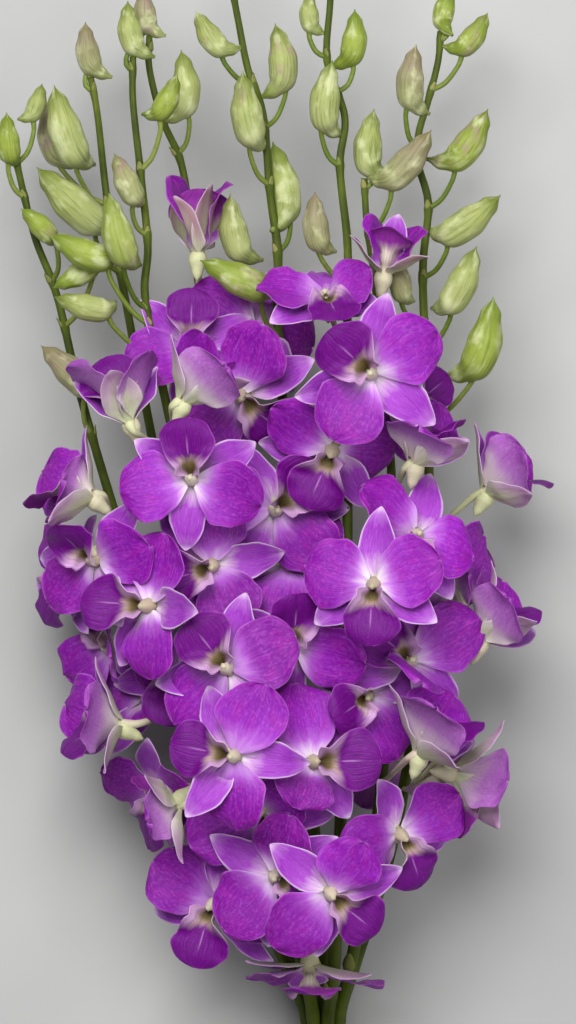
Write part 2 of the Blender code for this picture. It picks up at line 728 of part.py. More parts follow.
def settle(obstacles, name, blades):
    """Poses each blade so that it misses what stands, and gives back their solids."""
    solids = []
    own = Obstacles()
    for blade in blades:
        best = None
        for share in SHARES:
            for bend in BENDS:
                pose = posed(blade, bend, share)
                places, faces = blade_solid(pose, CLEARANCE)
                if obstacles.hits(name, places, faces):
                    continue
                crossings = own.hits("", places, outer_faces(blade.kind, faces))
                if best is None or crossings < best[0]:
                    best = (crossings, pose)
                if crossings == 0:
                    break
            if best:
                break
        if best is None:
            print(f"{name}: no room for a {blade.kind}")
            continue
        solid = blade_solid(best[1])
        own.add("", solid[0], outer_faces(blade.kind, solid[1]))
        solids.append(solid)
    for solid in solids:
        obstacles.add(name, *solid)
    return solids


def outer_faces(kind, faces):
    """A blade's triangles without those that meet at its root."""
    corners, _ = ball_of(4, len(ROWS[kind]) - 1)
    return [f for f in faces if all(corners[i][0] > 0 for i in f)]


def main():
    clear_old()
    collection = bpy.data.collections.new("dendrobium_orchid_bunch")
    bpy.context.scene.collection.children.link(collection)
    green = material("stem_green", (0.2, 0.34, 0.07), 0.5)
    purple = material("petal_purple", (0.42, 0.07, 0.55), 0.45)
    straw = material("tie_straw", (0.55, 0.45, 0.27), 0.7)

    obstacles = Obstacles()
    tie = make_tie(collection, straw)
    ready = tie.evaluated_get(bpy.context.evaluated_depsgraph_get())
    obstacles.add("tie", *mesh_solid(ready.to_mesh()))
    for spray in SPRAYS:
        thing = joined(spray.name, spray_meshes(spray), collection)
        thing.data.materials.clear()
        thing.data.materials.append(green)
        if obstacles.hits(spray.name, *mesh_solid(thing.data)):
            print(spray.name, "meets another piece")
        obstacles.add(spray.name, *mesh_solid(thing.data))

    # Flower middles, then stalks, then blades, so that each is bent clear of the last
    pieces = {}
    for number, bloom in enumerate(BLOOMS, 1):
        name = f"bloom_{number:02d}"
        face, lip = flower_axes(bloom)
        middle = Vector((bloom.x, bloom.y, bloom.z))
        chin = turned_solid(4, chin_spine(middle, face, lip), CHIN_RADII)
        if obstacles.hits(name, *chin):
            print(name, "middle meets another piece")
        obstacles.add(name, *chin)
        pieces[name] = (bloom, middle, [solid_mesh("chin", chin)])

    for name, (bloom, middle, meshes) in pieces.items():
        found = find_stalk(obstacles, name, bloom, middle)
        if not found:
            print(name, "stalk finds no way")
            continue
        obstacles.add(name, *found)
        meshes.insert(0, solid_mesh("stalk", found))

    order = sorted(pieces, key=lambda name: -pieces[name][1].z)
    for name in order:
        bloom, middle, meshes = pieces[name]
        number = int(name[-2:])
        for solid in settle(obstacles, name, bloom_blades(bloom, middle, number)):
            meshes.append(solid_mesh("blade", solid))

    for name, (bloom, middle, meshes) in pieces.items():
        thing = joined(name, meshes, collection)
        thing.data.materials.clear()
        thing.data.materials.append(purple)


main()
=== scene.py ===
"""Looks of a tied bunch of cut dendrobium orchid sprays that lies on its back.

Lengths in the tables are millimetres, as in the CAD source, whose layout tables and
blade shapes are repeated here. How far each blade was bent clear of its neighbours is
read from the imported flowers.
"""

import itertools
import math
import random
from collections import namedtuple

import bpy
import numpy as np
from mathutils import Matrix, Vector
from mathutils.bvhtree import BVHTree
from numpy.linalg import norm


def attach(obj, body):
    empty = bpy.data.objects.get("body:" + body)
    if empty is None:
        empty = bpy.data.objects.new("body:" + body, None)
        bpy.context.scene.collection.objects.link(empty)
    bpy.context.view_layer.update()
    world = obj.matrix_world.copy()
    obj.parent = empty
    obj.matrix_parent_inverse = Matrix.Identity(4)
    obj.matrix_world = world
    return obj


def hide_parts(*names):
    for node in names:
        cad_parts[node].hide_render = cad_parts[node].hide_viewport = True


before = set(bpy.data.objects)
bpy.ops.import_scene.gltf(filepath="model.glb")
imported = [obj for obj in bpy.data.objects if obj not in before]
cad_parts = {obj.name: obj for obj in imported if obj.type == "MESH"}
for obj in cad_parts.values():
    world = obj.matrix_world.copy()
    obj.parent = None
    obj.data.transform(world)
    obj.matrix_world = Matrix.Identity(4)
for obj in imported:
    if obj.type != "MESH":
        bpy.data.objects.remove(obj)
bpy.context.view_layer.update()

MM = 0.001
SEED = 11

# Tie, stems and flowers, as in the CAD source
TIE_LENGTH = 24
TIE_INNER = 9.9
TIE_WALL = 1.8
TIE_HEIGHT = TIE_INNER + TIE_WALL
STEM_RADIUS = 2.7
CENTRE_STEM_RADIUS = 3.1
STEM_TIP_RADIUS = 1.3
STEM_CIRCLE = 6.75
STRAIGHT_HALF = 15
CUT_Y = -140
CUT_SPREAD_X = 2.1
CUT_SPREAD_Z = 1.3
CUT_STAGGER = 9
PETAL_LENGTH = 29
PETAL_WIDTH = 29
SEPAL_LENGTH = 29
SEPAL_WIDTH = 16
LIP_LENGTH = 25
LIP_WIDTH = 24
LIP_CUP = 1.1
PETAL_BROADEST = 0.52
BLADE_THICKNESS = 1.4
ROOT_RADIUS = 1.5
SEPAL_SET_BACK = 2.2
HUB_BACK = 1.6
CHIN_LENGTH = 11
CHIN_OFFSET = 4.4
STALK_RADIUS = 1.15
STALK_SIDE = 1.8
STALK_END = 5
STALK_LEVEL = 0.25
TOUCH_GAP = 0.45
STALK_BOW = 4.5
BUD_LIFT = 3
BUD_SLOPE = 0.19
BUD_LEAST = 1.3
BUD_RADII = (0.14, 0.56, 0.97, 1, 0.62, 0.03)
FLOOR_LEVEL = 0.9
FLOOR_SOFTNESS = 9
BENDS = (0, -9, 9, -18, 18, -28, 28, -40, 40, -54)
SHARES = (1, 0.88, 0.76, 0.62)
STALK_DROPS = (14, 20, 8, 27, 2, 35, -5, 44)
STALK_LOOPS = (9, 14, 5)
ROWS = {"petal": (0, 0.2, 0.46, 0.73, 0.92, 1), "sepal": (0, 0.36, 0.74, 1),
        "lip": (0, 0.22, 0.5, 0.8, 0.95, 1)}

# Kind of blade, its angle from the top of the flower, how far forward it stands, its
# length and width, and in degrees how much wider it opens than the flower and how far it
# curls, and then its cup.
BLADE_PLAN = (
    ("lip", 180, 0.4, LIP_LENGTH, LIP_WIDTH, -24, 34, 0),
    ("petal", 76, 0, PETAL_LENGTH, PETAL_WIDTH, -1, 9, 0.07),
    ("petal", -76, 0, PETAL_LENGTH, PETAL_WIDTH, -1, 9, 0.07),
    ("sepal", 0, -SEPAL_SET_BACK, SEPAL_LENGTH, SEPAL_WIDTH, 8, 4, 0.2),
    ("sepal", 122, -SEPAL_SET_BACK, SEPAL_LENGTH, SEPAL_WIDTH, 10, 2, 0.16),
    ("sepal", -122, -SEPAL_SET_BACK, SEPAL_LENGTH, SEPAL_WIDTH, 10, 2, 0.16),
)

# Ranges of the random differences between blades
ANGLE_RANGE = (-8, 8)
LENGTH_RANGE = (0.95, 1.04)
WIDTH_RANGE = (0.92, 1.05)
OPEN_RANGE = (-13, 9)
CURL_RANGE = (-14, 14)
CUP_RANGE = (-0.06, 0.12)
TWIST_RANGE = (-26, 26)

# How open a flower is, in degrees, below which it counts as half open or nearly shut,
# and the share of that by which the lip of a half-open flower opens.
HALF_OPEN = 60
NEARLY_SHUT = 30
SHUT_LIP = 0.6

Spray = namedtuple("Spray", "name slot route buds")
Bloom = namedtuple("Bloom", "x y z lip toward lean open spray size")
Blade = namedtuple("Blade", "kind root face out length width open curl cup twist")

# Slot 0 is the middle of the tie, and the others go round it. A route is the stem
# above the tie. A bud is base x, y, z, tip x, y, and the y where its stalk leaves the stem.
SPRAYS = tuple(Spray(*row) for row in (
    ("spray_far_left", 1, (
        (-16, 40, 22), (-34, 90, 38), (-58, 150, 50), (-80, 210, 56), (-98, 270, 58), (-108, 312, 58),
        (-117, 336, 58), (-123, 360, 58), (-126, 374, 58),
    ), (
        (-127, 368, 64, -128, 386, 352), (-118, 385, 58, -114, 398, 366), (-110, 336, 70, -122, 347, 318),
        (-93, 324, 72, -109, 315, 300), (-95, 275, 70, -114, 292, 256),
    )),
    ("spray_left", 2, (
        (-12, 40, 14), (-28, 90, 28), (-46, 150, 38), (-61, 210, 42), (-73, 270, 44), (-81, 312, 45),
        (-88, 350, 46), (-92, 385, 46), (-95, 402, 46),
    ), (
        (-109, 369, 40, -113, 392, 350), (-101, 368, 64, -109, 397, 346), (-93, 341, 62, -116, 364, 322),
        (-95, 405, 46, -97, 424, 396),
    )),
    ("spray_left_front", 7, (
        (-9, 40, 28), (-20, 90, 48), (-36, 150, 62), (-50, 210, 69), (-64, 270, 73), (-72, 310, 75),
        (-71, 332, 76), (-74, 362, 75), (-77, 390, 74), (-77, 408, 73),
    ), (
        (-77, 411, 73, -79, 430, 402), (-66, 384, 80, -59, 400, 362), (-76, 350, 88, -84, 368, 336),
        (-80, 326, 92, -86, 352, 306), (-88, 325, 82, -110, 336, 300), (-88, 305, 84, -108, 311, 288),
    )),
    ("spray_left_back", 3, (
        (-1, 40, 10), (-8, 90, 22), (-20, 150, 34), (-32, 210, 42), (-43, 270, 48), (-50, 310, 50),
        (-54, 340, 50), (-58, 366, 51), (-66, 385, 52), (-71, 405, 52), (-71, 418, 52),
    ), (
        (-56, 388, 54, -58, 412, 370), (-72, 421, 52, -73, 438, 412),
    )),
    ("spray_middle", 0, (
        (0, 40, 20), (-4, 90, 38), (-10, 150, 52), (-14, 210, 58), (-17, 270, 60), (-19, 302, 60),
        (-19, 330, 60), (-22, 354, 60), (-25, 386, 60), (-31, 404, 60), (-35, 424, 60), (-38, 440, 60),
    ), (
        (-42, 411, 62, -52, 427, 398), (-30, 375, 72, -33, 402, 357), (-16, 398, 62, -20, 422, 380),
        (-15, 346, 52, -21, 375, 330), (-35, 329, 68, -38, 353, 312), (-25, 314, 76, -50, 326, 296),
        (-38, 443, 60, -39, 456, 434),
    )),
    ("spray_right_front", 6, (
        (4, 40, 32), (6, 90, 54), (8, 150, 66), (9, 210, 70), (9, 270, 71), (9, 310, 71), (9, 334, 70),
        (6, 364, 70), (8, 384, 69), (1, 406, 68), (2, 428, 68), (3, 440, 68),
    ), (
        (-6, 420, 68, -6, 434, 408), (11, 407, 70, 12, 427, 394), (-1, 381, 76, 3, 406, 364),
        (-3, 332, 80, -4, 353, 318), (3, 443, 68, 4, 455, 436),
    )),
    ("spray_right", 5, (
        (11, 40, 24), (20, 90, 42), (26, 150, 54), (28, 210, 58), (25, 270, 59), (20, 320, 58),
        (17, 342, 57), (16, 360, 56),
    ), (
        (17, 364, 56, 20, 388, 356), (27, 358, 64, 43, 379, 338),
    )),
    ("spray_far_right", 4, (
        (13, 40, 14), (28, 90, 28), (38, 150, 40), (42, 210, 46), (42, 270, 50), (40, 310, 52),
        (40, 328, 52), (42, 350, 52), (38, 366, 52), (38, 378, 52), (42, 392, 52), (46, 408, 52),
        (47, 420, 52),
    ), (
        (47, 423, 52, 52, 438, 416), (56, 412, 54, 66, 427, 396), (34, 391, 56, 37, 414, 372),
        (53, 366, 56, 66, 388, 348), (50, 336, 60, 71, 353, 320), (51, 308, 66, 61, 332, 292),
        (31, 312, 62, 30, 329, 300), (61, 282, 62, 68, 312, 262),
    )),
))

# x, y and z of the middle of the face, the direction of the lip in the picture plane,
# the direction and angle that the face leans to, how open it is in degrees, the spray
# that carries it and its size.
BLOOMS = tuple(Bloom(*row) for row in (
    (18, 280, 108, 142, 300, 8, 84, 5, 1.05),
    (0, 311, 88, 280, 95, 38, 70, 5, 0.9),
    (-53, 238, 104, 84, 180, 8, 84, 2, 0.98),
    (3, 250, 86, 243, 250, 22, 82, 4, 1.02),
    (19, 197, 112, 268, 200, 10, 84, 5, 0.98),
    (-45, 204, 84, 188, 300, 12, 82, 3, 1.02),
    (-70, 188, 94, 178, 185, 34, 80, 2, 1.02),
    (-39, 163, 102, 128, 140, 12, 82, 2, 1.02),
    (-36, 129, 114, 174, 190, 10, 86, 2, 1),
    (-5, 126, 98, 2, 30, 12, 82, 5, 1.05),
    (2, 74, 98, 323, 290, 14, 84, 5, 1),
    (-20, 80, 88, 330, 200, 14, 80, 4, 1),
    (-44, 68, 70, 250, 200, 34, 78, 3, 1.05),
    (30, 96, 72, 300, 330, 40, 78, 6, 0.95),
    (53, 120, 66, 250, 330, 112, 70, 7, 1),
    (38, 130, 92, 322, 50, 80, 46, 6, 1.1),
    (63, 175, 74, 318, 46, 84, 48, 7, 1.05),
    (36, 216, 94, 240, 40, 30, 82, 6, 0.98),
    (50, 198, 70, 300, 20, 56, 76, 7, 0.95),
    (36, 246, 90, 328, 58, 80, 44, 6, 1.05),
    (66, 234, 62, 310, 40, 84, 50, 7, 1),
    (24, 322, 72, 260, 80, 76, 24, 6, 0.85),
    (-51, 330, 66, 268, 88, 78, 12, 3, 1.05),
    (-78, 262, 104, 292, 112, 90, 30, 2, 1.05),
    (-56, 270, 110, 236, 52, 92, 36, 2, 1),
    (-94, 232, 84, 252, 160, 84, 48, 0, 1.05),
    (-102, 200, 58, 215, 172, 70, 72, 0, 0.97),
    (-92, 206, 84, 120, 200, 30, 80, 0, 0.97),
    (-83, 140, 78, 262, 172, 82, 52, 1, 1.05),
    (-68, 112, 52, 250, 215, 56, 74, 1, 0.9),
    (-60, 108, 84, 60, 200, 100, 60, 2, 0.8),
    (-54, 290, 74, 85, 60, 12, 80, 3, 0.95),
    (-28, 298, 60, 250, 120, 16, 82, 4, 1.05),
    (-13, 172, 88, 90, 270, 14, 80, 4, 1.02),
    (34, 166, 84, 140, 350, 18, 80, 6, 1.05),
    (-26, 106, 84, 300, 240, 20, 82, 4, 1.02),
    (-34, 272, 80, 320, 250, 14, 82, 4, 1.05),
    (-20, 226, 76, 60, 300, 12, 82, 4, 1.02),
    (34, 268, 72, 30, 340, 30, 78, 6, 0.8),
    (-86, 170, 60, 100, 190, 50, 76, 0, 0.9),
    (-14, 204, 68, 150, 90, 15, 80, 4, 1.02),
    (-60, 196, 20, 120, 190, 160, 74, 1, 0.95),
    (42, 204, 19, 250, 0, 160, 74, 7, 0.95),
    (-34, 112, 19, 300, 220, 160, 74, 1, 0.95),
    (22, 132, 16, 160, 300, 162, 74, 3, 1),
    (-6, 40, 56, 90, 270, 76, 76, 4, 1),
    (-72, 150, 52, 60, 150, 26, 80, 1, 0.95),
    (17, 152, 80, 200, 320, 16, 80, 5, 0.95),
    (-58, 160, 66, 250, 200, 16, 82, 2, 0.95),
))

# Fineness of the visible pieces
COLUMNS = 19
BLADE_LINES = {"petal": 22, "sepal": 18, "lip": 26}
SHEET_THICKNESS = 0.5
RIM_THICKNESS = 0.22
BRACT_THICKNESS = 0.24
THIN_SIDES = 10
TUBE_SIDES = 14
STEM_SIDES = 16
BUD_SIDES = 30
STEM_STEP = 2.5
ANY_SIDE = (0.31, 0.17, 0.93)

# How far a packed blade may lie from the pose that it is taken for, how far a visible
# blade may be pushed back and untwisted to come clear, and how near its neighbours are.
POSE_LIMIT = 1.2
PUSHES = (0, 0.7, -0.7, 1.4, -1.4, 2.1, 2.8)
TWIST_SHARES = (1, 0.3)
NEAR = 46

# Rings of the column, its cap and the chin, and of a stalk's root: how far ahead of the
# flower's middle, how far towards the lip, and the radius. The column and cap are drawn
# smaller than that, and smaller still in a flower that is half open.
COLUMN = ((-1.5, -0.6, 3), (1, -0.5, 3), (2.6, -0.2, 2.7), (4, 0.4, 2.4),
          (5.1, 1.2, 1.9), (5.5, 2, 0.6))
CAP = ((5, -0.3, 1.1), (5.6, 1.1, 1.6), (5.6, 2.5, 0.4))
CHIN = ((1, 0.5, 2), (-1.6, 1.2, 3.6), (-3.6, 1.9, 3.8),
        (-0.75 * CHIN_LENGTH, 0.8 * CHIN_OFFSET, 2.2), (-CHIN_LENGTH, CHIN_OFFSET, 0.5))
STALK_ROOT = ((-0.5, 0, 2.2), (-HUB_BACK, 0, 2.7))
GROWN_COLUMN = 0.84
YOUNG_COLUMN = 0.7
COLUMN_FLATNESS = 0.2
COLUMN_CORNERS = 0.16
STALK_SINK = 0.4
STALK_FLARE = 0.25
BUD_STALK_RADII = (STALK_RADIUS, 1.05, 1, 1.3, 1)
SEAM_DEPTH = 0.055
SEAM_WIDTH = 0.13

# Joints along a bare stem, the length of the bracts at them and under the buds, where
# along the stem the bracts are, and how far they keep from the middle of the tie.
JOINTS = 20
JOINT_FIRST = 12
JOINT_STEP = 31
JOINT_RANGE = (-4, 4)
JOINTS_END = 60
STEM_BRACT = 9
BUD_BRACT = 4.2
BRACTS_START = -130
BRACTS_END = 40
BRACTS_TIE = 20

# Turns of the cord, and how much of its room it fills
CORD_TURNS = 11
CORD_SHARE = 0.93


# Shapes repeated from the CAD source

def smooth(low, high, value):
    t = np.clip((np.asarray(value, float) - low) / (high - low), 0, 1)
    return t * t * (3 - 2 * t)


def above_floor(points):
    """Flattens what hangs towards the surface, so that it lies on it."""
    points = np.array(points, float)
    high = FLOOR_LEVEL + FLOOR_SOFTNESS
    z = points[..., 2]
    low = FLOOR_LEVEL + FLOOR_SOFTNESS * np.exp((np.minimum(z, high) - high) / FLOOR_SOFTNESS)
    points[..., 2] = np.where(z < high, low, z)
    return points


def petal_width(v):
    fan = 0.14 + 0.86 * np.sin(0.5 * math.pi * np.minimum(1, v / PETAL_BROADEST))
    past = np.maximum(0, v - PETAL_BROADEST) / (1 - PETAL_BROADEST)
    return fan * np.sqrt(np.maximum(0, 1 - past * past))


def sepal_width(v):
    claw = 0.62 + 0.38 * smooth(0, 0.3, v)
    return claw * np.maximum(0, np.sin(math.pi * v ** 0.8)) ** 0.7


def lip_width(v):
    side_lobes = 0.6 * np.exp(-((v - 0.22) / 0.15) ** 2)
    mid_lobe = np.sqrt(np.maximum(0, 1 - ((v - 0.63) / 0.37) ** 2))
    return (side_lobes ** 3 + mid_lobe ** 3) ** (1 / 3)


WIDTHS = {"petal": petal_width, "sepal": sepal_width, "lip": lip_width}


def blade_surface(blade, u, v, wobble=1):
    """The middle surface of a blade at u across and v along, with the direction out of
    its face and half its width."""
    u = np.asarray(u, float)
    v = np.asarray(v, float)
    curl = blade.curl if abs(blade.curl) > 0.01 else 0.01
    angle = blade.open + curl * v
    reach = blade.length / curl
    out = reach * (math.cos(blade.open) - np.cos(angle))
    rise = reach * (np.sin(angle) - math.sin(blade.open))
    side = np.cross(blade.face, blade.out)
    normal = np.sin(angle)[..., None] * blade.face - np.cos(angle)[..., None] * blade.out
    turn = (blade.twist * v)[..., None]
    across = np.cos(turn) * side + np.sin(turn) * normal
    normal = np.cos(turn) * normal - np.sin(turn) * side
    middle = blade.root + out[..., None] * blade.out + rise[..., None] * blade.face
    half = 0.5 * blade.width * WIDTHS[blade.kind](v) * wobble
    cup = blade.cup
    narrow = 1
    if blade.kind == "lip":
        cup = LIP_CUP * smooth(0.55, 0.3, v) - 0.18 * smooth(0.55, 0.8, v)
        narrow = 1 - 0.25 * np.maximum(0, cup) / LIP_CUP
    points = middle + (u * half * narrow)[..., None] * across + (cup * half * u * u)[..., None] * normal
    return points, normal, half


def coarse_corners(blade):
    """The corners that the CAD blade has between its root and its tip."""
    rows = np.array(ROWS[blade.kind][1:-1])
    zero = np.zeros_like(rows)
    left, _, _ = blade_surface(blade, zero - 1, rows)
    right, _, _ = blade_surface(blade, zero + 1, rows)
    middle, normal, _ = blade_surface(blade, zero, rows)
    half = 0.5 * BLADE_THICKNESS
    front = above_floor(middle) + half * normal
    back = above_floor(middle) - half * normal
    return np.concatenate([above_floor(left), above_floor(right), front, back])


def slot_place(slot):
    """Where a stem passes through the tie."""
    if slot == 0:
        return 0, TIE_HEIGHT
    angle = math.pi + 2 * math.pi * (slot - 1) / 7
    return STEM_CIRCLE * math.cos(angle), TIE_HEIGHT + STEM_CIRCLE * math.sin(angle)


def stem_route(spray):
    x, z = slot_place(spray.slot)
    cut_z = TIE_HEIGHT + (z - TIE_HEIGHT) * CUT_SPREAD_Z
    cut = (x * CUT_SPREAD_X, CUT_Y - CUT_STAGGER * (spray.slot % 3), cut_z)
    lower = [cut, (x, -STRAIGHT_HALF, z)]
    upper = [(x, STRAIGHT_HALF, z)] + list(spray.route)
    return np.array(lower + upper, float)


def stem_radius(spray, y):
    thick = CENTRE_STEM_RADIUS if spray.slot == 0 else STEM_RADIUS
    top = spray.route[-1][1]
    share = min(1, max(0, (y - STRAIGHT_HALF) / (top - STRAIGHT_HALF)))
    return thick + (STEM_TIP_RADIUS - thick) * share


def stem_at(spray, y):
    xs, ys, zs = stem_route(spray).T
    return np.array([np.interp(y, ys, xs), min(max(y, ys[0]), ys[-1]), np.interp(y, ys, zs)])


def unit(vector):
    return vector / norm(vector)


def flower_axes(bloom):
    """The middle of a bloom, and the directions that it faces and that its lip hangs in."""
    around = math.radians(bloom.toward)
    lean = math.radians(bloom.lean)
    toward = np.array([math.cos(around), math.sin(around), 0])
    face = math.cos(lean) * np.array([0, 0, 1]) + math.sin(lean) * toward
    hang = np.array([math.cos(math.radians(bloom.lip)), math.sin(math.radians(bloom.lip)), 0])
    hang = hang - hang.dot(face) * face
    if norm(hang) < 0.05:
        down = np.array([0, 0, -1])
        hang = down - down.dot(face) * face
    return np.array([bloom.x, bloom.y, bloom.z], float), face, unit(hang)


def bloom_blades(bloom, number):
    """The six blades of a bloom, before any of them is bent clear."""
    middle, face, lip = flower_axes(bloom)
    draw = random.Random(SEED * 1000 + number)
    blades = []
    for kind, angle, forward, length, width, open_more, curl, cup in BLADE_PLAN:
        turn = Matrix.Rotation(math.radians(angle + draw.uniform(*ANGLE_RANGE)), 3, Vector(face))
        out = np.array(turn @ -Vector(lip))
        closing = bloom.open * (SHUT_LIP if kind == "lip" and bloom.open < HALF_OPEN else 1)
        root = middle + forward * face + ROOT_RADIUS * out
        blades.append(Blade(
            kind, root, face, out, bloom.size * length * draw.uniform(*LENGTH_RANGE),
            bloom.size * width * draw.uniform(*WIDTH_RANGE),
            math.radians(closing + open_more + draw.uniform(*OPEN_RANGE)),
            math.radians(curl + draw.uniform(*CURL_RANGE)), cup + draw.uniform(*CUP_RANGE),
            math.radians(draw.uniform(*TWIST_RANGE)),
        ))
    return blades


def posed(blade, bend, share):
    return blade._replace(open=blade.open + math.radians(bend), length=blade.length * share,
                          width=blade.width * (0.5 + 0.5 * share))


def stalk_route(bloom, spray, drop, loop):
    """A bloom's stalk, from behind its middle to a touch away from its stem."""
    middle, face, lip = flower_axes(bloom)
    behind = middle - loop * face - STALK_SIDE * lip
    foot = stem_at(spray, middle[1] - drop)
    away = unit((behind - foot) * np.array([1, STALK_LEVEL, 1]))
    radius = stem_radius(spray, foot[1])
    end = foot + (radius + TOUCH_GAP) * away
    before = end + STALK_END * away
    spine = [above_floor(behind), above_floor(behind + 0.55 * (before - behind)), above_floor(before), end]
    return np.array(spine), away


def bud_stalk(foot, base, tip):
    """The line of a bud's stalk, bowed out and down, which ends inside the bud."""
    reach = base - foot
    out = np.array([reach[1], -reach[0], 0]) if reach[0] > 0 else np.array([-reach[1], reach[0], 0])
    bow = foot + 0.5 * reach + STALK_BOW * unit(out)
    return np.array([foot, foot + 0.6 * (bow - foot), bow + 0.5 * (base - bow),
                     base - 0.02 * (tip - base), base + 0.22 * (tip - base)])


def bud_body(stem, base, tip):
    """The line of a bud from its chin to its tip, with its radii."""
    along = tip - base
    length = norm(along)
    side = stem - base
    side = side - side.dot(along) / length ** 2 * along
    side = length * unit(side) if norm(side) > 1 else np.array([length, 0, 0])
    full = BUD_SLOPE * length + BUD_LEAST
    spine = [base - 0.17 * along + 0.44 * side, base - 0.08 * along + 0.21 * side,
             base + 0.1 * along + 0.03 * side, base + 0.4 * along - 0.03 * side,
             base + 0.75 * along - 0.02 * side, tip]
    return np.array(spine), full * np.array(BUD_RADII)


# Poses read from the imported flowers

def node_tree(name):
    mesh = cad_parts[name].data
    places = [v.co / MM for v in mesh.vertices]
    faces = [tuple(p.vertices) for p in mesh.polygons]
    return BVHTree.FromPolygons(places, faces)


def distance(tree, points):
    found = [tree.find_nearest(Vector(p))[3] for p in points]
    return sum(found) / len(found)


def settled(tree, blade):
    """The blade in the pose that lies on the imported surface, or None if none does."""
    def miss(pose):
        return distance(tree, coarse_corners(pose))

    best = min((posed(blade, bend, share) for share in SHARES for bend in BENDS), key=miss)
    return best if miss(best) < POSE_LIMIT else None


def settled_stalk(tree, bloom):
    """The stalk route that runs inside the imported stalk."""
    middle, _, _ = flower_axes(bloom)
    near = sorted(SPRAYS, key=lambda s: norm(stem_at(s, middle[1] - STALK_DROPS[0]) - middle))

    def miss(found):
        route = found[0]
        return distance(tree, [route[3], route[2], route[1], 0.5 * (route[1] + route[2])])

    tries = itertools.product([SPRAYS[bloom.spray]] + near[:4], STALK_DROPS, STALK_LOOPS)
    return min((stalk_route(bloom, *row) for row in tries), key=miss)


# Surfaces

def in_scene(name, data):
    thing = bpy.data.objects.new(name, data)
    bpy.context.scene.collection.objects.link(thing)
    return thing


class Skin:
    """Collects corners, triangles and what the materials need to know of each corner."""

    def __init__(self):
        self.parts = []
        self.count = 0

    def add(self, points, faces, look, place, tint):
        """Faces are rows of three or four corner numbers."""
        faces = np.asarray(faces)
        if faces.shape[1] == 4:
            faces = np.concatenate([faces[:, :3], faces[:, [0, 2, 3]]])
        tints = np.tile(np.asarray(tint, float), (len(points), 1))
        self.parts.append((points, place, tints, faces + self.count, np.full(len(faces), look)))
        self.count += len(points)

    def piece(self, name, node, looks):
        points, places, tints, faces, numbers = map(np.concatenate, zip(*self.parts))
        mesh = bpy.data.meshes.new(name)
        mesh.from_pydata(points * MM, [], faces.tolist())
        mesh.polygons.foreach_set("material_index", numbers.astype(np.int32))
        mesh.polygons.foreach_set("use_smooth", np.ones(len(faces), bool))
        for label, rows in (("place", places), ("tint", tints)):
            layer = mesh.attributes.new(label, "FLOAT_VECTOR", "POINT")
            layer.data.foreach_set("vector", rows.astype(np.float32).ravel())
        for look in looks:
            mesh.materials.append(look)
        mesh.update()
        thing = in_scene(name, mesh)
        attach(thing, "root")
        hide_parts(node)


def grid_faces(rows, columns, wrap=False):
    """Quads of a grid of corners, counted row by row."""
    last = columns if wrap else columns - 1
    i, j = np.meshgrid(np.arange(rows - 1), np.arange(last), indexing="ij")
    here = (i * columns + j).ravel()
    beside = (i * columns + (j + 1) % columns).ravel()
    return np.stack([here, beside, beside + columns, here + columns], axis=1)


def rim_numbers(rows, columns):
    """The corners along the border of a grid, in order."""
    grid = np.arange(rows * columns).reshape(rows, columns)
    return np.concatenate([grid[0], grid[1:, -1], grid[-1, -2::-1], grid[-2:0:-1, 0]])


def blade_lift(blade, u, v, half, phase):
    """How far a blade's surface stands off its plain form: waves, midrib and keels."""
    right = u > 0
    edge = np.abs(u) ** 3
    near_tip = smooth(0.72, 1, v)
    wave = np.where(right, np.sin(9.5 * v + phase[0]), np.sin(9.5 * v + phase[1]))
    ripple = np.where(right, np.sin(22 * v + phase[2]), np.sin(24 * v + phase[3]))
    if blade.kind == "petal":
        lift = edge * (1.15 * wave + 0.4 * ripple) + 0.75 * near_tip * np.sin(5.5 * u + phase[4])
        lift += 0.95 * np.sin(math.pi * v) * np.sin(2.1 * u + phase[5])
        lift -= 0.9 * edge * smooth(0.3, 0.7, v) + 0.8 * near_tip ** 2
        return lift - 0.45 * np.exp(-(u * half / 1.1) ** 2) * (1 - v)
    if blade.kind == "sepal":
        lift = edge * (0.35 * wave + 0.15 * ripple) - 0.9 * near_tip ** 2
        return lift - 0.4 * np.exp(-(u * half / 0.9) ** 2) * (1 - 0.6 * v)
    mid_lobe = smooth(0.42, 0.6, v)
    lift = edge * (0.8 * wave + 0.45 * ripple) * (0.25 + 0.75 * mid_lobe)
    keels = sum(np.exp(-((u - c) / 0.07) ** 2) for c in (-0.22, 0, 0.22))
    lift += 0.55 * keels * (1 - smooth(0.34, 0.55, v)) - 0.35 * np.exp(-(u / 0.08) ** 2) * mid_lobe
    sac = 1.5 * np.exp(-((v - 0.22) / 0.13) ** 2) * (1 - u * u)
    return lift - 1.2 * near_tip ** 2 - sac


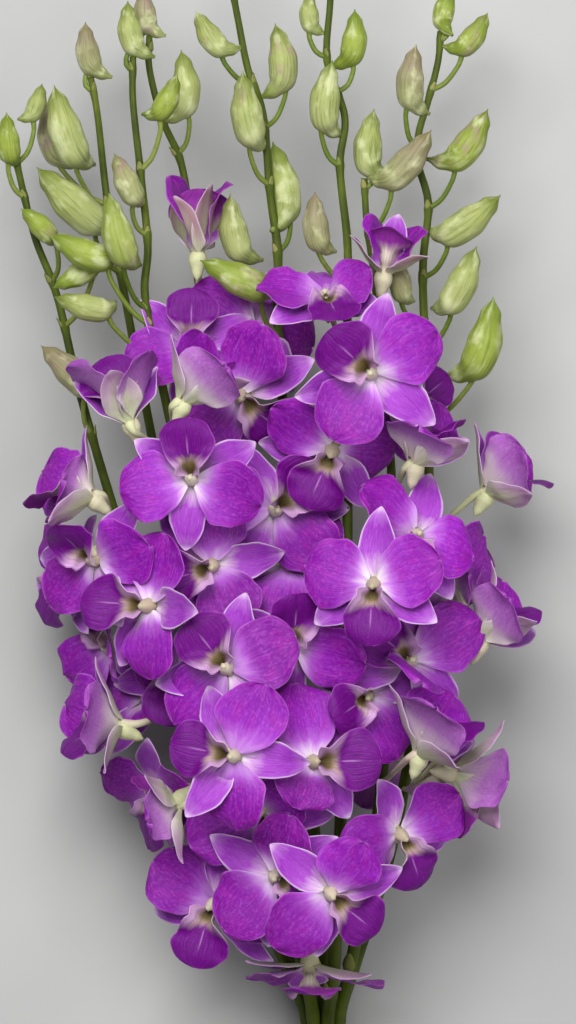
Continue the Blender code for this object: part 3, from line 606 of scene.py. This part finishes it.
def blade_form(blade, phase, push):
    """The two faces of a thin sheet with an uneven outline, pushed back from the face
    of the flower, with the place of each corner and whether the sheet is turned over."""
    lines = BLADE_LINES[blade.kind]
    rows = 0.02 + 0.978 * (0.5 - 0.5 * np.cos(math.pi * np.linspace(0, 1, lines)))
    cols = np.sin(1.3 * np.linspace(-1, 1, COLUMNS)) / math.sin(1.3)
    v, u = np.meshgrid(rows, cols, indexing="ij")
    wobble = 1 + 0.06 * np.sin(9 * v + phase[6]) * u
    wobble += 0.016 * np.sin(23 * v + phase[7] + 2 * np.sign(u))
    points, normal, half = blade_surface(blade, u, v, wobble)
    lift = blade_lift(blade, u, v, half, phase)
    points = points + lift[..., None] * normal - (push * smooth(0.1, 0.5, v))[..., None] * blade.face
    points = above_floor(points)
    out = np.cross(np.gradient(points, axis=1), np.gradient(points, axis=0))
    out /= np.maximum(norm(out, axis=2, keepdims=True), 1e-9)
    flipped = np.sum(out * normal) < 0
    out = -out if flipped else out
    rim = np.maximum(smooth(0.7, 1, np.abs(u)), smooth(0.93, 1, v))
    thick = 0.5 * (SHEET_THICKNESS + (RIM_THICKNESS - SHEET_THICKNESS) * rim)[..., None]
    return points + thick * out, points - thick * out, u, v, flipped


def free_tree(front, back):
    """The part of a blade that stands free of the middle of the flower."""
    first = len(front) // 3
    sheet = grid_faces(len(front) - first, COLUMNS)
    corners = np.concatenate([front[first:].reshape(-1, 3), back[first:].reshape(-1, 3)])
    faces = np.concatenate([sheet, sheet + len(corners) // 2])
    return BVHTree.FromPolygons(corners.tolist(), faces.tolist())


def add_sheet(skin, front, back, u, v, look, tint, flipped):
    """Joins two faces along their rim. The front one has a 1 in the last number of its
    place."""
    rows, columns = u.shape
    count = rows * columns
    sheet = grid_faces(rows, columns)
    border = rim_numbers(rows, columns)
    after = np.roll(border, -1)
    edge = np.stack([after, border, border + count, after + count], axis=1)
    faces = np.concatenate([sheet, sheet[:, ::-1] + count, edge])
    points = np.concatenate([front.reshape(-1, 3), back.reshape(-1, 3)])
    place = np.zeros((2 * count, 3))
    place[:, 0] = np.tile(u.ravel(), 2)
    place[:, 1] = np.tile(v.ravel(), 2)
    place[:count, 2] = 1
    skin.add(points, faces[:, ::-1] if flipped else faces, look, place, tint)


def add_blade(skin, blade, look, youth, stand, draw):
    """A thin sheet closed along its rim, pushed back and untwisted as little as lets it
    miss the blades that are there already, whose free parts are in stand."""
    phase = [draw.uniform(0, 2 * math.pi) for _ in range(8)]
    centre = blade.root + 0.5 * blade.length * blade.out
    near = [tree for place, tree in stand if norm(place - centre) < NEAR]
    best = None
    for twist, push in itertools.product(TWIST_SHARES, PUSHES):
        form = blade_form(blade._replace(twist=twist * blade.twist), phase, push)
        tree = free_tree(form[0], form[1])
        crossings = sum(len(tree.overlap(other)) for other in near)
        if best is None or crossings < best[0]:
            best = (crossings, tree, form)
        if crossings == 0:
            break
    _, tree, (front, back, u, v, flipped) = best
    stand.append((centre, tree))
    tint = [draw.random(), draw.random(), youth]
    add_sheet(skin, front, back, u, v, look, tint, flipped)


def spread(spine, radii, step):
    """A smooth line through the spine, with its radii, in steps of about that length."""
    spine = np.asarray(spine, float)
    ends = np.concatenate([[2 * spine[0] - spine[1]], spine, [2 * spine[-1] - spine[-2]]])
    path = []
    thick = []
    for i in range(len(spine) - 1):
        a, b, c, d = ends[i:i + 4]
        steps = max(2, int(norm(c - b) / step))
        for t in np.arange(steps) / steps:
            ease = 3 * t ** 2 - 2 * t ** 3
            path.append((1 - ease) * b + (t ** 3 - 2 * t ** 2 + t) * 0.5 * (c - a)
                        + ease * c + (t ** 3 - t ** 2) * 0.5 * (d - b))
            thick.append(radii[i] + (radii[i + 1] - radii[i]) * ease)
    return np.array(path + [spine[-1]]), np.array(thick + [radii[-1]])


def rings_along(path, radii, sides, relief, side):
    """Rings of corners round a path, turned as little as the path lets them."""
    along = np.gradient(path, axis=0)
    along /= norm(along, axis=1, keepdims=True)
    angle = np.linspace(0, 2 * math.pi, sides, endpoint=False)
    rings = []
    for i, point in enumerate(path):
        side = unit(side - side.dot(along[i]) * along[i])
        other = np.cross(along[i], side)
        radius = radii[i] * (1 + (relief(angle, i / (len(path) - 1)) if relief else 0 * angle))
        round_it = np.cos(angle)[:, None] * side + np.sin(angle)[:, None] * other
        rings.append(point + radius[:, None] * round_it)
    return np.concatenate(rings)


def add_tube(skin, path, radii, look, tint, sides=TUBE_SIDES, relief=None, side=ANY_SIDE):
    """A closed tube along a path. The relief is a share of the radius, by turn and place."""
    count = len(path)
    rings = rings_along(path, radii, sides, relief, np.array(side))
    points = np.concatenate([rings, path[:1], path[-1:]])
    first = count * sides
    sheet = grid_faces(count, sides, wrap=True)
    j = np.arange(sides)
    k = (j + 1) % sides
    last = (count - 1) * sides
    caps = np.concatenate([np.stack([k, j, np.full(sides, first)], axis=1),
                           np.stack([last + j, last + k, np.full(sides, first + 1)], axis=1)])
    faces = np.concatenate([sheet[:, :3], sheet[:, [0, 2, 3]], caps])
    length = np.concatenate([[0], np.cumsum(norm(np.diff(path, axis=0), axis=1))])
    place = np.zeros((len(points), 3))
    turns = np.minimum(2 * j / sides, 2 - 2 * j / sides)
    place[:first, 0] = np.tile(turns, count)
    place[:first, 1] = np.repeat(length / max(length[-1], 1e-6), sides)
    place[:first, 2] = np.repeat(length, sides)
    place[first:, 1] = (0, 1)
    place[first:, 2] = (0, length[-1])
    skin.add(points, faces, look, place, tint)


def add_limb(skin, spine, radii, step, look, tint, **form):
    """A tube along a smooth line through the spine."""
    path, thick = spread(spine, radii, step)
    add_tube(skin, path, thick, look, tint, **form)


# Flowers

def three(draw):
    return [draw.random() for _ in range(3)]


def rings_ahead(bloom, rows, size=1):
    """Places and radii of rings that lie ahead of a flower's middle, behind it if below
    0, and towards its lip."""
    middle, face, lip = flower_axes(bloom)
    rows = np.array(rows)
    return middle + size * (rows[:, :1] * face + rows[:, 1:2] * lip), size * rows[:, 2]


def add_middle(skin, bloom, draw):
    """The column with its cap, and the chin behind it."""
    tint = three(draw)
    size = bloom.size * (YOUNG_COLUMN if bloom.open < HALF_OPEN else GROWN_COLUMN)

    def flat(angle, share):
        return -COLUMN_FLATNESS * np.cos(2 * angle) - COLUMN_CORNERS * np.cos(3 * angle)

    form = {"relief": flat, "side": flower_axes(bloom)[2]}
    places, radii = rings_ahead(bloom, COLUMN, size)
    places[0] = rings_ahead(bloom, COLUMN[:1])[0][0]
    add_limb(skin, places, radii, 0.6, 3, tint, **form)
    add_limb(skin, *rings_ahead(bloom, CAP, size), 0.4, 4, tint, **form)
    add_limb(skin, *rings_ahead(bloom, CHIN), 0.8, 5, tint)


def add_stalk(skin, bloom, route, away, draw):
    """A stalk, from inside its flower to just inside the stem."""
    places, radii = rings_ahead(bloom, STALK_ROOT)
    spine = [*places, *route, route[-1] - (TOUCH_GAP + STALK_SINK) * away]
    radii = [*radii, 1.5] + [STALK_RADIUS] * (len(route) - 1) + [STALK_RADIUS + STALK_FLARE]
    add_limb(skin, spine, radii, 1.6, 5, three(draw), sides=THIN_SIDES)


def build_flower(number, bloom, looks, stand):
    name = f"bloom_{number:02d}"
    tree = node_tree(name)
    draw = random.Random(SEED * 77 + number)
    skin = Skin()
    kinds = {"petal": 0, "sepal": 1, "lip": 2}
    youth = 1 if bloom.open < HALF_OPEN else 0.4 * draw.random()
    youth = 2 if bloom.open < NEARLY_SHUT else youth
    for blade in bloom_blades(bloom, number):
        pose = settled(tree, blade)
        if pose is None:
            print(name, "has no", blade.kind)
        else:
            add_blade(skin, pose, kinds[blade.kind], youth, stand, draw)
    add_middle(skin, bloom, draw)
    add_stalk(skin, bloom, *settled_stalk(tree, bloom), draw)
    skin.piece(f"flower_{number:02d}", name, looks)


# Stems, buds and tie

def add_bud(skin, spray, bud, draw):
    x, y, z, tip_x, tip_y, leaves = bud
    base = np.array([x, y, z], float)
    tip = np.array([tip_x, tip_y, z + BUD_LIFT], float)
    tint = three(draw)
    turn = draw.uniform(0, 2 * math.pi)

    def seams(angle, share):
        fade = math.sin(math.pi * min(1, max(0, (share - 0.08) / 0.92))) ** 0.5
        return -SEAM_DEPTH * fade * np.exp(-(np.sin(1.5 * (angle - turn)) / SEAM_WIDTH) ** 2)

    stalk = bud_stalk(stem_at(spray, leaves), base, tip)
    add_limb(skin, stalk, BUD_STALK_RADII, 1.5, 1, tint, sides=THIN_SIDES)
    add_limb(skin, *bud_body(stem_at(spray, y), base, tip), 0.8, 2, tint, sides=BUD_SIDES, relief=seams)


def add_bract(skin, foot, along, out, size, draw):
    """A small papery leaf that clasps the stem under a stalk."""
    v, u = np.meshgrid(np.linspace(0, 1, 6), np.linspace(-1, 1, 5), indexing="ij")
    half = size * 0.42 * (1 - v) ** 0.7 * (0.6 + 0.4 * smooth(0, 0.3, v))
    lift = 0.25 + 0.18 * size * v ** 2 - 0.35 * u * u * half
    points = foot + (v * size)[..., None] * along + (u * half)[..., None] * np.cross(along, out)
    points += lift[..., None] * out
    thick = 0.5 * BRACT_THICKNESS * out
    add_sheet(skin, points + thick, points - thick, u, v, 3, three(draw), True)


def build_spray(index, spray, looks):
    draw = random.Random(SEED * 31 + index)
    skin = Skin()
    route = stem_route(spray)
    path, thick = spread(route, [stem_radius(spray, y) for y in route[:, 1]], STEM_STEP)
    first = path[0, 1] + JOINT_FIRST
    joints = [first + JOINT_STEP * k + draw.uniform(*JOINT_RANGE) for k in range(JOINTS)]
    spots = [leaves for *_, leaves in spray.buds]
    swellings = [(y, 0.32, 2.2) for y in joints if y < JOINTS_END]
    for y, height, width in swellings + [(y, 0.35, 2) for y in spots]:
        thick = thick + height * np.exp(-((path[:, 1] - y) / width) ** 2)

    def ridges(angle, share):
        return 0.03 * np.cos(5 * angle + 1.3) + 0.012 * np.cos(11 * angle)

    add_tube(skin, path, thick, 0, three(draw), sides=STEM_SIDES, relief=ridges)
    for bud in spray.buds:
        add_bud(skin, spray, bud, draw)
    bracts = [(y, BUD_BRACT) for y in spots]
    bracts += [(y, STEM_BRACT) for y in joints if BRACTS_START < y < BRACTS_END and abs(y) > BRACTS_TIE]
    for y, size in bracts:
        foot = stem_at(spray, y)
        ahead = unit(stem_at(spray, y + 4) - foot)
        turn = draw.uniform(0, 2 * math.pi)
        up = unit(np.array([math.cos(turn), 0, abs(math.sin(turn)) + 0.2]))
        out = unit(up - up.dot(ahead) * ahead)
        add_bract(skin, foot + (stem_radius(spray, y) - 0.1) * out, ahead, out, size, draw)
    skin.piece(f"stem_{index + 1}", spray.name, looks)


def build_tie(look):
    """A fibre cord wound side by side round the stems, which lies flat on the surface."""
    cord = 0.5 * TIE_LENGTH / CORD_TURNS
    steps = CORD_TURNS * 48
    share = np.linspace(0, 1, steps)
    angle = 2 * math.pi * CORD_TURNS * share
    radius = TIE_INNER + cord + 0.05 * np.sin(7 * angle / CORD_TURNS)
    y = (share - 0.5) * (TIE_LENGTH - 2 * cord)
    path = np.stack([radius * np.cos(angle), y, TIE_HEIGHT + radius * np.sin(angle)], axis=1)
    skin = Skin()

    def strands(turn, at):
        return 0.1 * np.cos(3 * turn + 200 * at)

    thick = np.full(steps, cord * CORD_SHARE)
    add_tube(skin, path, thick, 0, three(random.Random(SEED)), sides=THIN_SIDES, relief=strands)
    points = skin.parts[0][0]
    points[:, 2] = np.maximum(points[:, 2], 0)
    skin.piece("tie_cord", "tie", [look])


# Materials

def paint(red, green, blue):
    """A screen colour, 0 to 255, as the shader takes it."""
    made = []
    for value in (red, green, blue):
        share = value / 255.0
        made.append(share / 12.92 if share <= 0.04045 else ((share + 0.055) / 1.055) ** 2.4)
    return (*made, 1.0)


class Look:
    """Builds one procedural material, node by node."""

    def __init__(self, name):
        self.material = bpy.data.materials.new(name)
        self.material.use_nodes = True
        self.tree = self.material.node_tree
        self.shader = self.tree.nodes["Principled BSDF"]
        self.place = self.attribute("place")
        self.tints = self.attribute("tint")

    def node(self, kind, **settings):
        made = self.tree.nodes.new("ShaderNode" + kind)
        for key, value in settings.items():
            setattr(made, key, value)
        return made

    def fill(self, node, values):
        """Puts values on a node's sockets, by their names or numbers."""
        for key, value in values.items():
            if isinstance(value, bpy.types.NodeSocket):
                self.tree.links.new(value, node.inputs[key])
            else:
                node.inputs[key].default_value = value
        return node.outputs

    def attribute(self, name):
        """The three numbers that a piece's corners have under that name."""
        stored = self.node("Attribute", attribute_type="GEOMETRY", attribute_name=name)
        return self.fill(self.node("SeparateXYZ"), {0: stored.outputs["Vector"]})

    def calc(self, operation, *values):
        return self.fill(self.node("Math", operation=operation), dict(enumerate(values)))[0]

    def scaled(self, value, factor, extra):
        return self.calc("MULTIPLY_ADD", value, factor, extra)

    def times(self, *values):
        made = values[0]
        for value in values[1:]:
            made = self.calc("MULTIPLY", made, value)
        return made

    def step(self, low, high, value):
        """A soft step from 0 at low to 1 at high."""
        node = self.node("MapRange", interpolation_type="SMOOTHSTEP")
        return self.fill(node, {"Value": value, "From Min": low, "From Max": high})[0]

    def mix(self, share, a, b):
        return self.fill(self.node("Mix", data_type="RGBA"), {0: share, 6: a, 7: b})[2]

    def lay(self, colour, *layers):
        """Lays colours over one another, each as much as the product of its shares."""
        for rgb, *shares in layers:
            colour = self.mix(self.times(*shares), colour, paint(*rgb))
        return colour

    def ramp(self, value, stops, *layers):
        node = self.node("ValToRGB")
        row = node.color_ramp.elements
        while len(row) < len(stops):
            row.new(0.5)
        for element, (at, *rgb) in zip(row, stops):
            element.position = at
            element.color = paint(*rgb)
        return self.lay(self.fill(node, {0: value})[0], *layers)

    def noise(self, vector, scale, detail, roughness):
        values = {"Vector": vector, "Scale": scale, "Detail": detail, "Roughness": roughness}
        return self.fill(self.node("TexNoise"), values)[0]

    def grain(self, across, along, shift, scale, detail, roughness=0.5, row=2):
        """Noise stretched across and along a piece. Row 2 goes by millimetres along it."""
        place = {0: self.times(self.place[0], across), 1: self.times(self.place[row], along), 2: shift}
        vector = self.fill(self.node("CombineXYZ"), place)[0]
        return self.noise(vector, scale, detail, roughness)

    def marks(self, across, along, scale, detail, roughness=0.5):
        """Noise stretched across and along a piece, by shares of it, unlike on each piece."""
        return self.grain(across, along, self.times(self.tints[0], 40.0), scale, detail, roughness, 1)

    def ragged(self, value, marks, depth):
        """The value, with its contours made ragged by the marks."""
        return self.scaled(marks, depth, self.calc("SUBTRACT", value, 0.5 * depth))

    def veins(self, count, bend, sharp):
        """Dark lines that run from the root out to the edge, 0 to 1."""
        wander = self.marks(3.0, 5.0, 1.0, 3.0)
        wave = self.calc("SINE", self.scaled(wander, bend, self.times(self.place[0], count)))
        fork = self.scaled(self.place[0], count * 1.63, self.times(wander, bend * 1.7))
        both = self.calc("MAXIMUM", wave, self.times(self.calc("SINE", fork), 0.8))
        return self.step(sharp, 1.0, both)

    def bump(self, height, strength, depth):
        values = {"Height": height, "Strength": strength, "Distance": depth}
        self.fill(self.shader, {"Normal": self.fill(self.node("Bump"), values)[0]})

    def finish(self, colour, roughness, sheen=0.0, soft=0.0):
        self.fill(self.shader, {"Base Color": colour, "Roughness": roughness, "Sheen Weight": sheen,
                                "Sheen Roughness": 0.4, "Specular IOR Level": 0.22})
        if soft:
            self.fill(self.shader, {"Subsurface Weight": soft, "Subsurface Scale": 0.002,
                                    "Subsurface Radius": (1.0, 0.35, 0.9)})
        return self.material


def petal_look():
    look = Look("petal_purple")
    u, v, front = look.place
    youth = look.tints[2]
    reach = look.ragged(v, look.marks(1.6, 1.6, 1.4, 3), 0.34)
    grown = look.step(0.1, 0.4, v)
    blush = look.step(0.46, 0.66, look.marks(2.6, 3, 1.5, 4, 0.6))
    dark_heart = look.times(look.step(0.32, 0.04, youth), look.step(0.4, 0.06, v))
    streaks = look.marks(20, 1.7, 1.6, 5, 0.62)
    mottle = look.step(0.46, 0.72, look.marks(8, 11, 1.6, 5, 0.62))
    rim = look.calc("MAXIMUM", look.step(0.94, 1, look.calc("ABSOLUTE", u)), look.step(0.97, 1, v))
    colour = look.ramp(
        reach, ((0, 230, 222, 226), (0.11, 212, 176, 222), (0.24, 178, 96, 206),
                (0.42, 150, 38, 184), (0.75, 134, 12, 162), (1, 126, 4, 148)),
        ((110, 2, 124), look.tints[1], grown, 0.7),
        ((158, 22, 158), blush, grown, 0.45),
        ((158, 78, 186), dark_heart, 0.8),
        ((104, 4, 124), look.step(0.5, 0.72, streaks), grown, 0.5),
        ((198, 104, 216), look.step(0.47, 0.28, streaks), grown, 0.3),
        ((98, 2, 118), look.veins(30, 4, 0.45), grown, 0.26),
        ((194, 98, 214), mottle, 0.28),
        ((204, 130, 218), rim, 0.32),
    )
    back = look.ramp(
        reach, ((0, 214, 212, 192), (0.2, 208, 184, 204), (0.5, 176, 114, 188), (1, 146, 56, 164)),
        ((126, 50, 136), look.step(0.48, 0.75, streaks), 0.45),
        ((204, 172, 204), mottle, 0.25),
        ((212, 206, 190), look.step(0, 1, youth), look.step(0.62, 0.06, v), 0.6),
        ((134, 82, 120), look.step(1.2, 1.8, youth), 0.6),
    )
    fine = look.marks(26, 14, 2, 3)
    look.bump(look.scaled(streaks, 0.8, fine), 0.3, 0.0006)
    return look.finish(look.mix(front, back, colour), look.scaled(fine, 0.14, 0.46), soft=0.1)


def sepal_look():
    look = Look("sepal_purple")
    u, v, front = look.place
    youth = look.tints[2]
    reach = look.ragged(v, look.marks(1.8, 2.4, 1.5, 3), 0.3)
    streaks = look.step(0.45, 0.75, look.marks(9, 2.6, 1.6, 4, 0.65))
    light = look.step(0.5, 0.75, look.marks(14, 5, 1.3, 4, 0.6))
    edge = look.calc("ABSOLUTE", u)
    pale = look.calc("MAXIMUM", look.step(0.86, 1, edge), look.step(0.88, 1, v))
    young = look.calc("MINIMUM", look.scaled(youth, 0.6, 0.3), 0.95)
    colour = look.ramp(
        reach, ((0, 230, 226, 224), (0.15, 212, 172, 218), (0.36, 166, 74, 194), (0.72, 148, 48, 178),
                (1, 184, 120, 204)),
        ((118, 12, 140), streaks, 0.5),
        ((206, 134, 220), light, 0.35),
        ((234, 208, 238), pale, 0.66),
    )
    back = look.ramp(
        reach, ((0, 196, 202, 152), (0.25, 212, 208, 188), (0.6, 184, 152, 176), (1, 156, 106, 154)),
        ((150, 122, 114), look.step(1.2, 1.8, youth), look.step(0, 0.6, v), 0.8),
        ((186, 194, 148), look.step(0.8, 0.1, edge), look.step(1, 0.3, v), young),
        ((140, 78, 140), streaks, 0.3),
        ((222, 204, 216), pale, 0.4),
    )
    fine = look.marks(24, 8, 2, 3)
    look.bump(look.scaled(streaks, -0.4, fine), 0.35, 0.0006)
    return look.finish(look.mix(front, back, colour), look.scaled(fine, 0.14, 0.44), 0.03, 0.1)


def lip_look():
    look = Look("lip_purple")
    u, v, front = look.place
    width = look.calc("ABSOLUTE", u)
    reach = look.ragged(v, look.marks(2, 2, 1.5, 3), 0.22)
    reach = look.scaled(look.times(u, u), -0.1, reach)
    lines = look.veins(26, 2.5, 0.5)
    # The throat's olive and beige go near black at the lip's root. This is partly the throat's own colour
    # and partly painted shade of the hollow under the column
    throat_and_shade = look.lay(
        paint(64, 56, 20),
        ((124, 110, 66), look.step(0.1, 0.28, v)),
        ((184, 160, 150), look.step(0.2, 0.34, v)),
        ((202, 160, 204), look.step(0.45, 0.95, width)),
        ((130, 80, 80), lines, 0.25),
    )
    streaks = look.step(0.46, 0.72, look.marks(18, 2.4, 1.6, 4, 0.62))
    glow = look.step(0.52, 0.75, look.marks(7, 9, 1.4, 4, 0.6))
    lobe = look.lay(paint(104, 0, 122), ((56, 0, 74), streaks, 0.7), ((148, 36, 170), glow, 0.3))
    middle = look.times(look.step(0.045, 0.015, width), look.step(0.36, 0.45, v), look.step(0.78, 0.55, v))
    colour = look.lay(
        look.mix(look.step(0.25, 0.42, reach), throat_and_shade, lobe),
        ((196, 140, 206), middle, 0.4),
        ((186, 96, 202), look.step(0.93, 1, width), 0.4),
    )
    outer = look.step(0.3, 0.6, reach)
    back = look.lay(paint(206, 198, 176), ((140, 46, 150), outer), ((112, 36, 112), lines, 0.3))
    fine = look.marks(22, 14, 2, 3)
    look.bump(look.scaled(lines, -0.5, fine), 0.4, 0.0006)
    return look.finish(look.mix(front, back, colour), look.scaled(fine, 0.12, 0.44), soft=0.08)


def column_look():
    look = Look("column_white")
    around, along, _ = look.place
    mottle = look.marks(3, 8, 2, 3)
    reach = look.ragged(along, mottle, 0.4)
    colour = look.ramp(
        reach, ((0, 178, 172, 128), (0.45, 198, 190, 164), (1, 204, 190, 174)),
        ((158, 140, 112), look.step(0.2, 0.8, look.tints[1]), 0.6),
        ((104, 96, 44), look.times(look.step(0.3, 0.1, around), look.step(0.5, 0.62, along)), 0.8),
    )
    look.bump(mottle, 0.2, 0.0005)
    return look.finish(colour, look.scaled(mottle, 0.15, 0.34), soft=0.12)


def cap_look():
    look = Look("column_cap")
    mottle = look.marks(4, 6, 2, 3)
    dull = look.step(0.2, 0.8, look.tints[1])
    colour = look.lay(paint(214, 206, 180), ((178, 166, 134), mottle), ((170, 154, 128), dull, 0.6))
    look.bump(mottle, 0.2, 0.0005)
    return look.finish(colour, look.scaled(mottle, 0.15, 0.26), soft=0.15)


def stalk_look(name, tint, share, soft, stops):
    """The colour goes by one of the stalk's own numbers and by a mottle."""
    look = Look(name)
    mottle = look.marks(3, 6, 2, 4)
    colour = look.ramp(look.scaled(look.tints[tint], share, look.times(mottle, 0.6)), stops)
    fine = look.marks(16, 30, 2, 3)
    look.bump(fine, 0.3, 0.0005)
    return look.finish(colour, look.scaled(fine, 0.2, 0.44), soft=soft)


def flower_stalk_look():
    stops = ((0, 172, 180, 120), (0.5, 198, 198, 158), (0.8, 196, 182, 162), (1, 178, 142, 150))
    return stalk_look("stalk_pale", 1, 0.5, 0.08, stops)


def bud_stalk_look():
    stops = ((0.1, 62, 82, 20), (0.5, 98, 116, 40), (0.9, 140, 148, 76))
    return stalk_look("bud_stalk_green", 0, 0.4, 0.06, stops)


def stem_look():
    look = Look("stem_green")
    marks = look.grain(9, 0.03, look.times(look.tints[0], 30), 1.6, 4, 0.6)
    patches = look.grain(1, 0.06, look.times(look.tints[1], 30), 1.3, 3)
    colour = look.ramp(look.scaled(patches, 0.6, look.times(marks, 0.5)), (
        (0.2, 36, 46, 6), (0.45, 58, 70, 10), (0.65, 82, 96, 20), (0.9, 124, 124, 54),
    ))
    look.bump(marks, 0.5, 0.0008)
    return look.finish(colour, look.scaled(marks, 0.25, 0.36), soft=0.04)


def bud_look():
    look = Look("bud_green")
    kind = look.tints[1]
    reach = look.ragged(look.place[1], look.marks(2, 2.5, 1.4, 3), 0.4)
    green = look.ramp(reach, (
        (0, 106, 120, 50), (0.3, 166, 174, 114), (0.7, 152, 160, 92), (1, 98, 112, 36),
    ))
    lime = look.ramp(reach, ((0, 98, 116, 34), (0.5, 148, 162, 70), (1, 104, 122, 32)))
    dusty = look.ramp(reach, (
        (0, 140, 148, 88), (0.4, 152, 152, 108), (0.75, 142, 130, 104), (1, 126, 114, 80),
    ))
    flush = look.step(0.5, 0.75, look.marks(2.4, 3, 1.2, 3))
    streaks = look.marks(12, 2, 1.6, 4, 0.6)
    # Broad pale patches at random, which are painted highlights on the bud
    pale = look.step(0.48, 0.72, look.marks(2.2, 3, 1.5, 3))
    colour = look.lay(
        look.mix(look.step(0.3, 0.2, kind), look.mix(look.step(0.72, 0.78, kind), green, lime), dusty),
        ((172, 112, 150), flush, look.step(0.55, 0.9, look.tints[2]), 0.45),
        ((78, 96, 26), look.step(0.45, 0.7, streaks), 0.5),
        ((220, 224, 178), pale, 0.5),
    )
    look.bump(streaks, 0.35, 0.0007)
    return look.finish(colour, look.scaled(streaks, 0.2, 0.4), 0.02, 0.1)


def bract_look():
    look = Look("bract_straw")
    marks = look.marks(10, 2, 2, 4)
    colour = look.ramp(look.scaled(look.tints[0], 0.4, look.times(marks, 0.6)), (
        (0.1, 92, 106, 44), (0.5, 128, 130, 70), (0.9, 160, 148, 100),
    ))
    look.bump(marks, 0.4, 0.0005)
    return look.finish(colour, look.scaled(marks, 0.2, 0.5))


def tie_look():
    look = Look("tie_straw")
    strands = look.grain(8, 0.12, 0, 2, 5, 0.65)
    patches = look.grain(0, 0.02, 4, 2, 3)
    colour = look.ramp(look.scaled(patches, 0.4, look.times(strands, 0.6)), (
        (0.2, 150, 122, 74), (0.5, 196, 170, 116), (0.8, 222, 202, 156),
    ))
    look.bump(strands, 0.6, 0.0006)
    return look.finish(colour, look.scaled(strands, 0.25, 0.55))


def floor_look():
    look = Look("floor_pale")
    clouds = look.noise(look.node("TexCoord").outputs["Object"], 3, 4, 0.6)
    colour = look.lay(paint(169, 169, 168), ((183, 183, 181), look.step(0.3, 0.7, clouds)))
    return look.finish(colour, 0.9)


# Light and camera. The photo's size and the place of the frame's origin in it are in pixels.

PHOTO_WIDTH = 576
PHOTO_HEIGHT = 1024
ORIGIN_X = 325
ORIGIN_Y = 1075
PHOTO_MM = 0.4
CAMERA_X = (PHOTO_WIDTH / 2 - ORIGIN_X) * PHOTO_MM * MM
CAMERA_Y = (ORIGIN_Y - PHOTO_HEIGHT / 2) * PHOTO_MM * MM
CAMERA_HEIGHT = 2.2
FOCUS_HEIGHT = 0.08
SENSOR = 36
FLOOR_HALF = 4

# Place, size and power of each lamp, in metres and watts, and the strength of the sky
KEY = ((-0.24, 0.94, 1.5), 1.1, 34.5)
FILL = ((0.7, -0.1, 1.3), 1.3, 8)
SKY_COLOUR = (0.9, 0.93, 1, 1)
SKY_STRENGTH = 0.18


def add_lamp(name, place, size, power):
    data = bpy.data.lights.new(name, "AREA")
    data.shape = "DISK"
    data.size = size
    data.energy = power
    lamp = in_scene(name, data)
    lamp.location = place
    aim = Vector((CAMERA_X, CAMERA_Y, FOCUS_HEIGHT)) - Vector(place)
    lamp.rotation_euler = aim.to_track_quat("-Z", "Y").to_euler()


def add_floor():
    mesh = bpy.data.meshes.new("floor")
    corners = [(x * FLOOR_HALF, y * FLOOR_HALF, 0) for x, y in ((-1, -1), (1, -1), (1, 1), (-1, 1))]
    mesh.from_pydata(corners, [], [(0, 1, 2, 3)])
    mesh.materials.append(floor_look())
    in_scene("floor", mesh)


def add_camera(scene):
    """A camera straight above, which sees what the photo's frame holds."""
    lens = bpy.data.cameras.new("camera")
    lens.sensor_width = SENSOR
    lens.lens = SENSOR * CAMERA_HEIGHT / (PHOTO_HEIGHT * PHOTO_MM * MM)
    scene.camera = in_scene("camera", lens)
    scene.camera.location = (CAMERA_X, CAMERA_Y, FOCUS_HEIGHT + CAMERA_HEIGHT)


def set_scene(scene):
    add_floor()
    add_lamp("key", *KEY)
    add_lamp("fill", *FILL)
    scene.world = bpy.data.worlds.new("studio")
    scene.world.use_nodes = True
    sky = scene.world.node_tree.nodes["Background"]
    sky.inputs["Color"].default_value = SKY_COLOUR
    sky.inputs["Strength"].default_value = SKY_STRENGTH
    add_camera(scene)
    scene.view_settings.view_transform = "Standard"
    scene.view_settings.look = "None"


def main():
    flower_looks = [petal_look(), sepal_look(), lip_look(), column_look(), cap_look(), flower_stalk_look()]
    stem_looks = [stem_look(), bud_stalk_look(), bud_look(), bract_look()]
    stand = []
    for number, bloom in enumerate(BLOOMS, 1):
        build_flower(number, bloom, flower_looks, stand)
    for index, spray in enumerate(SPRAYS):
        build_spray(index, spray, stem_looks)
    build_tie(tie_look())
    set_scene(bpy.context.scene)


main()
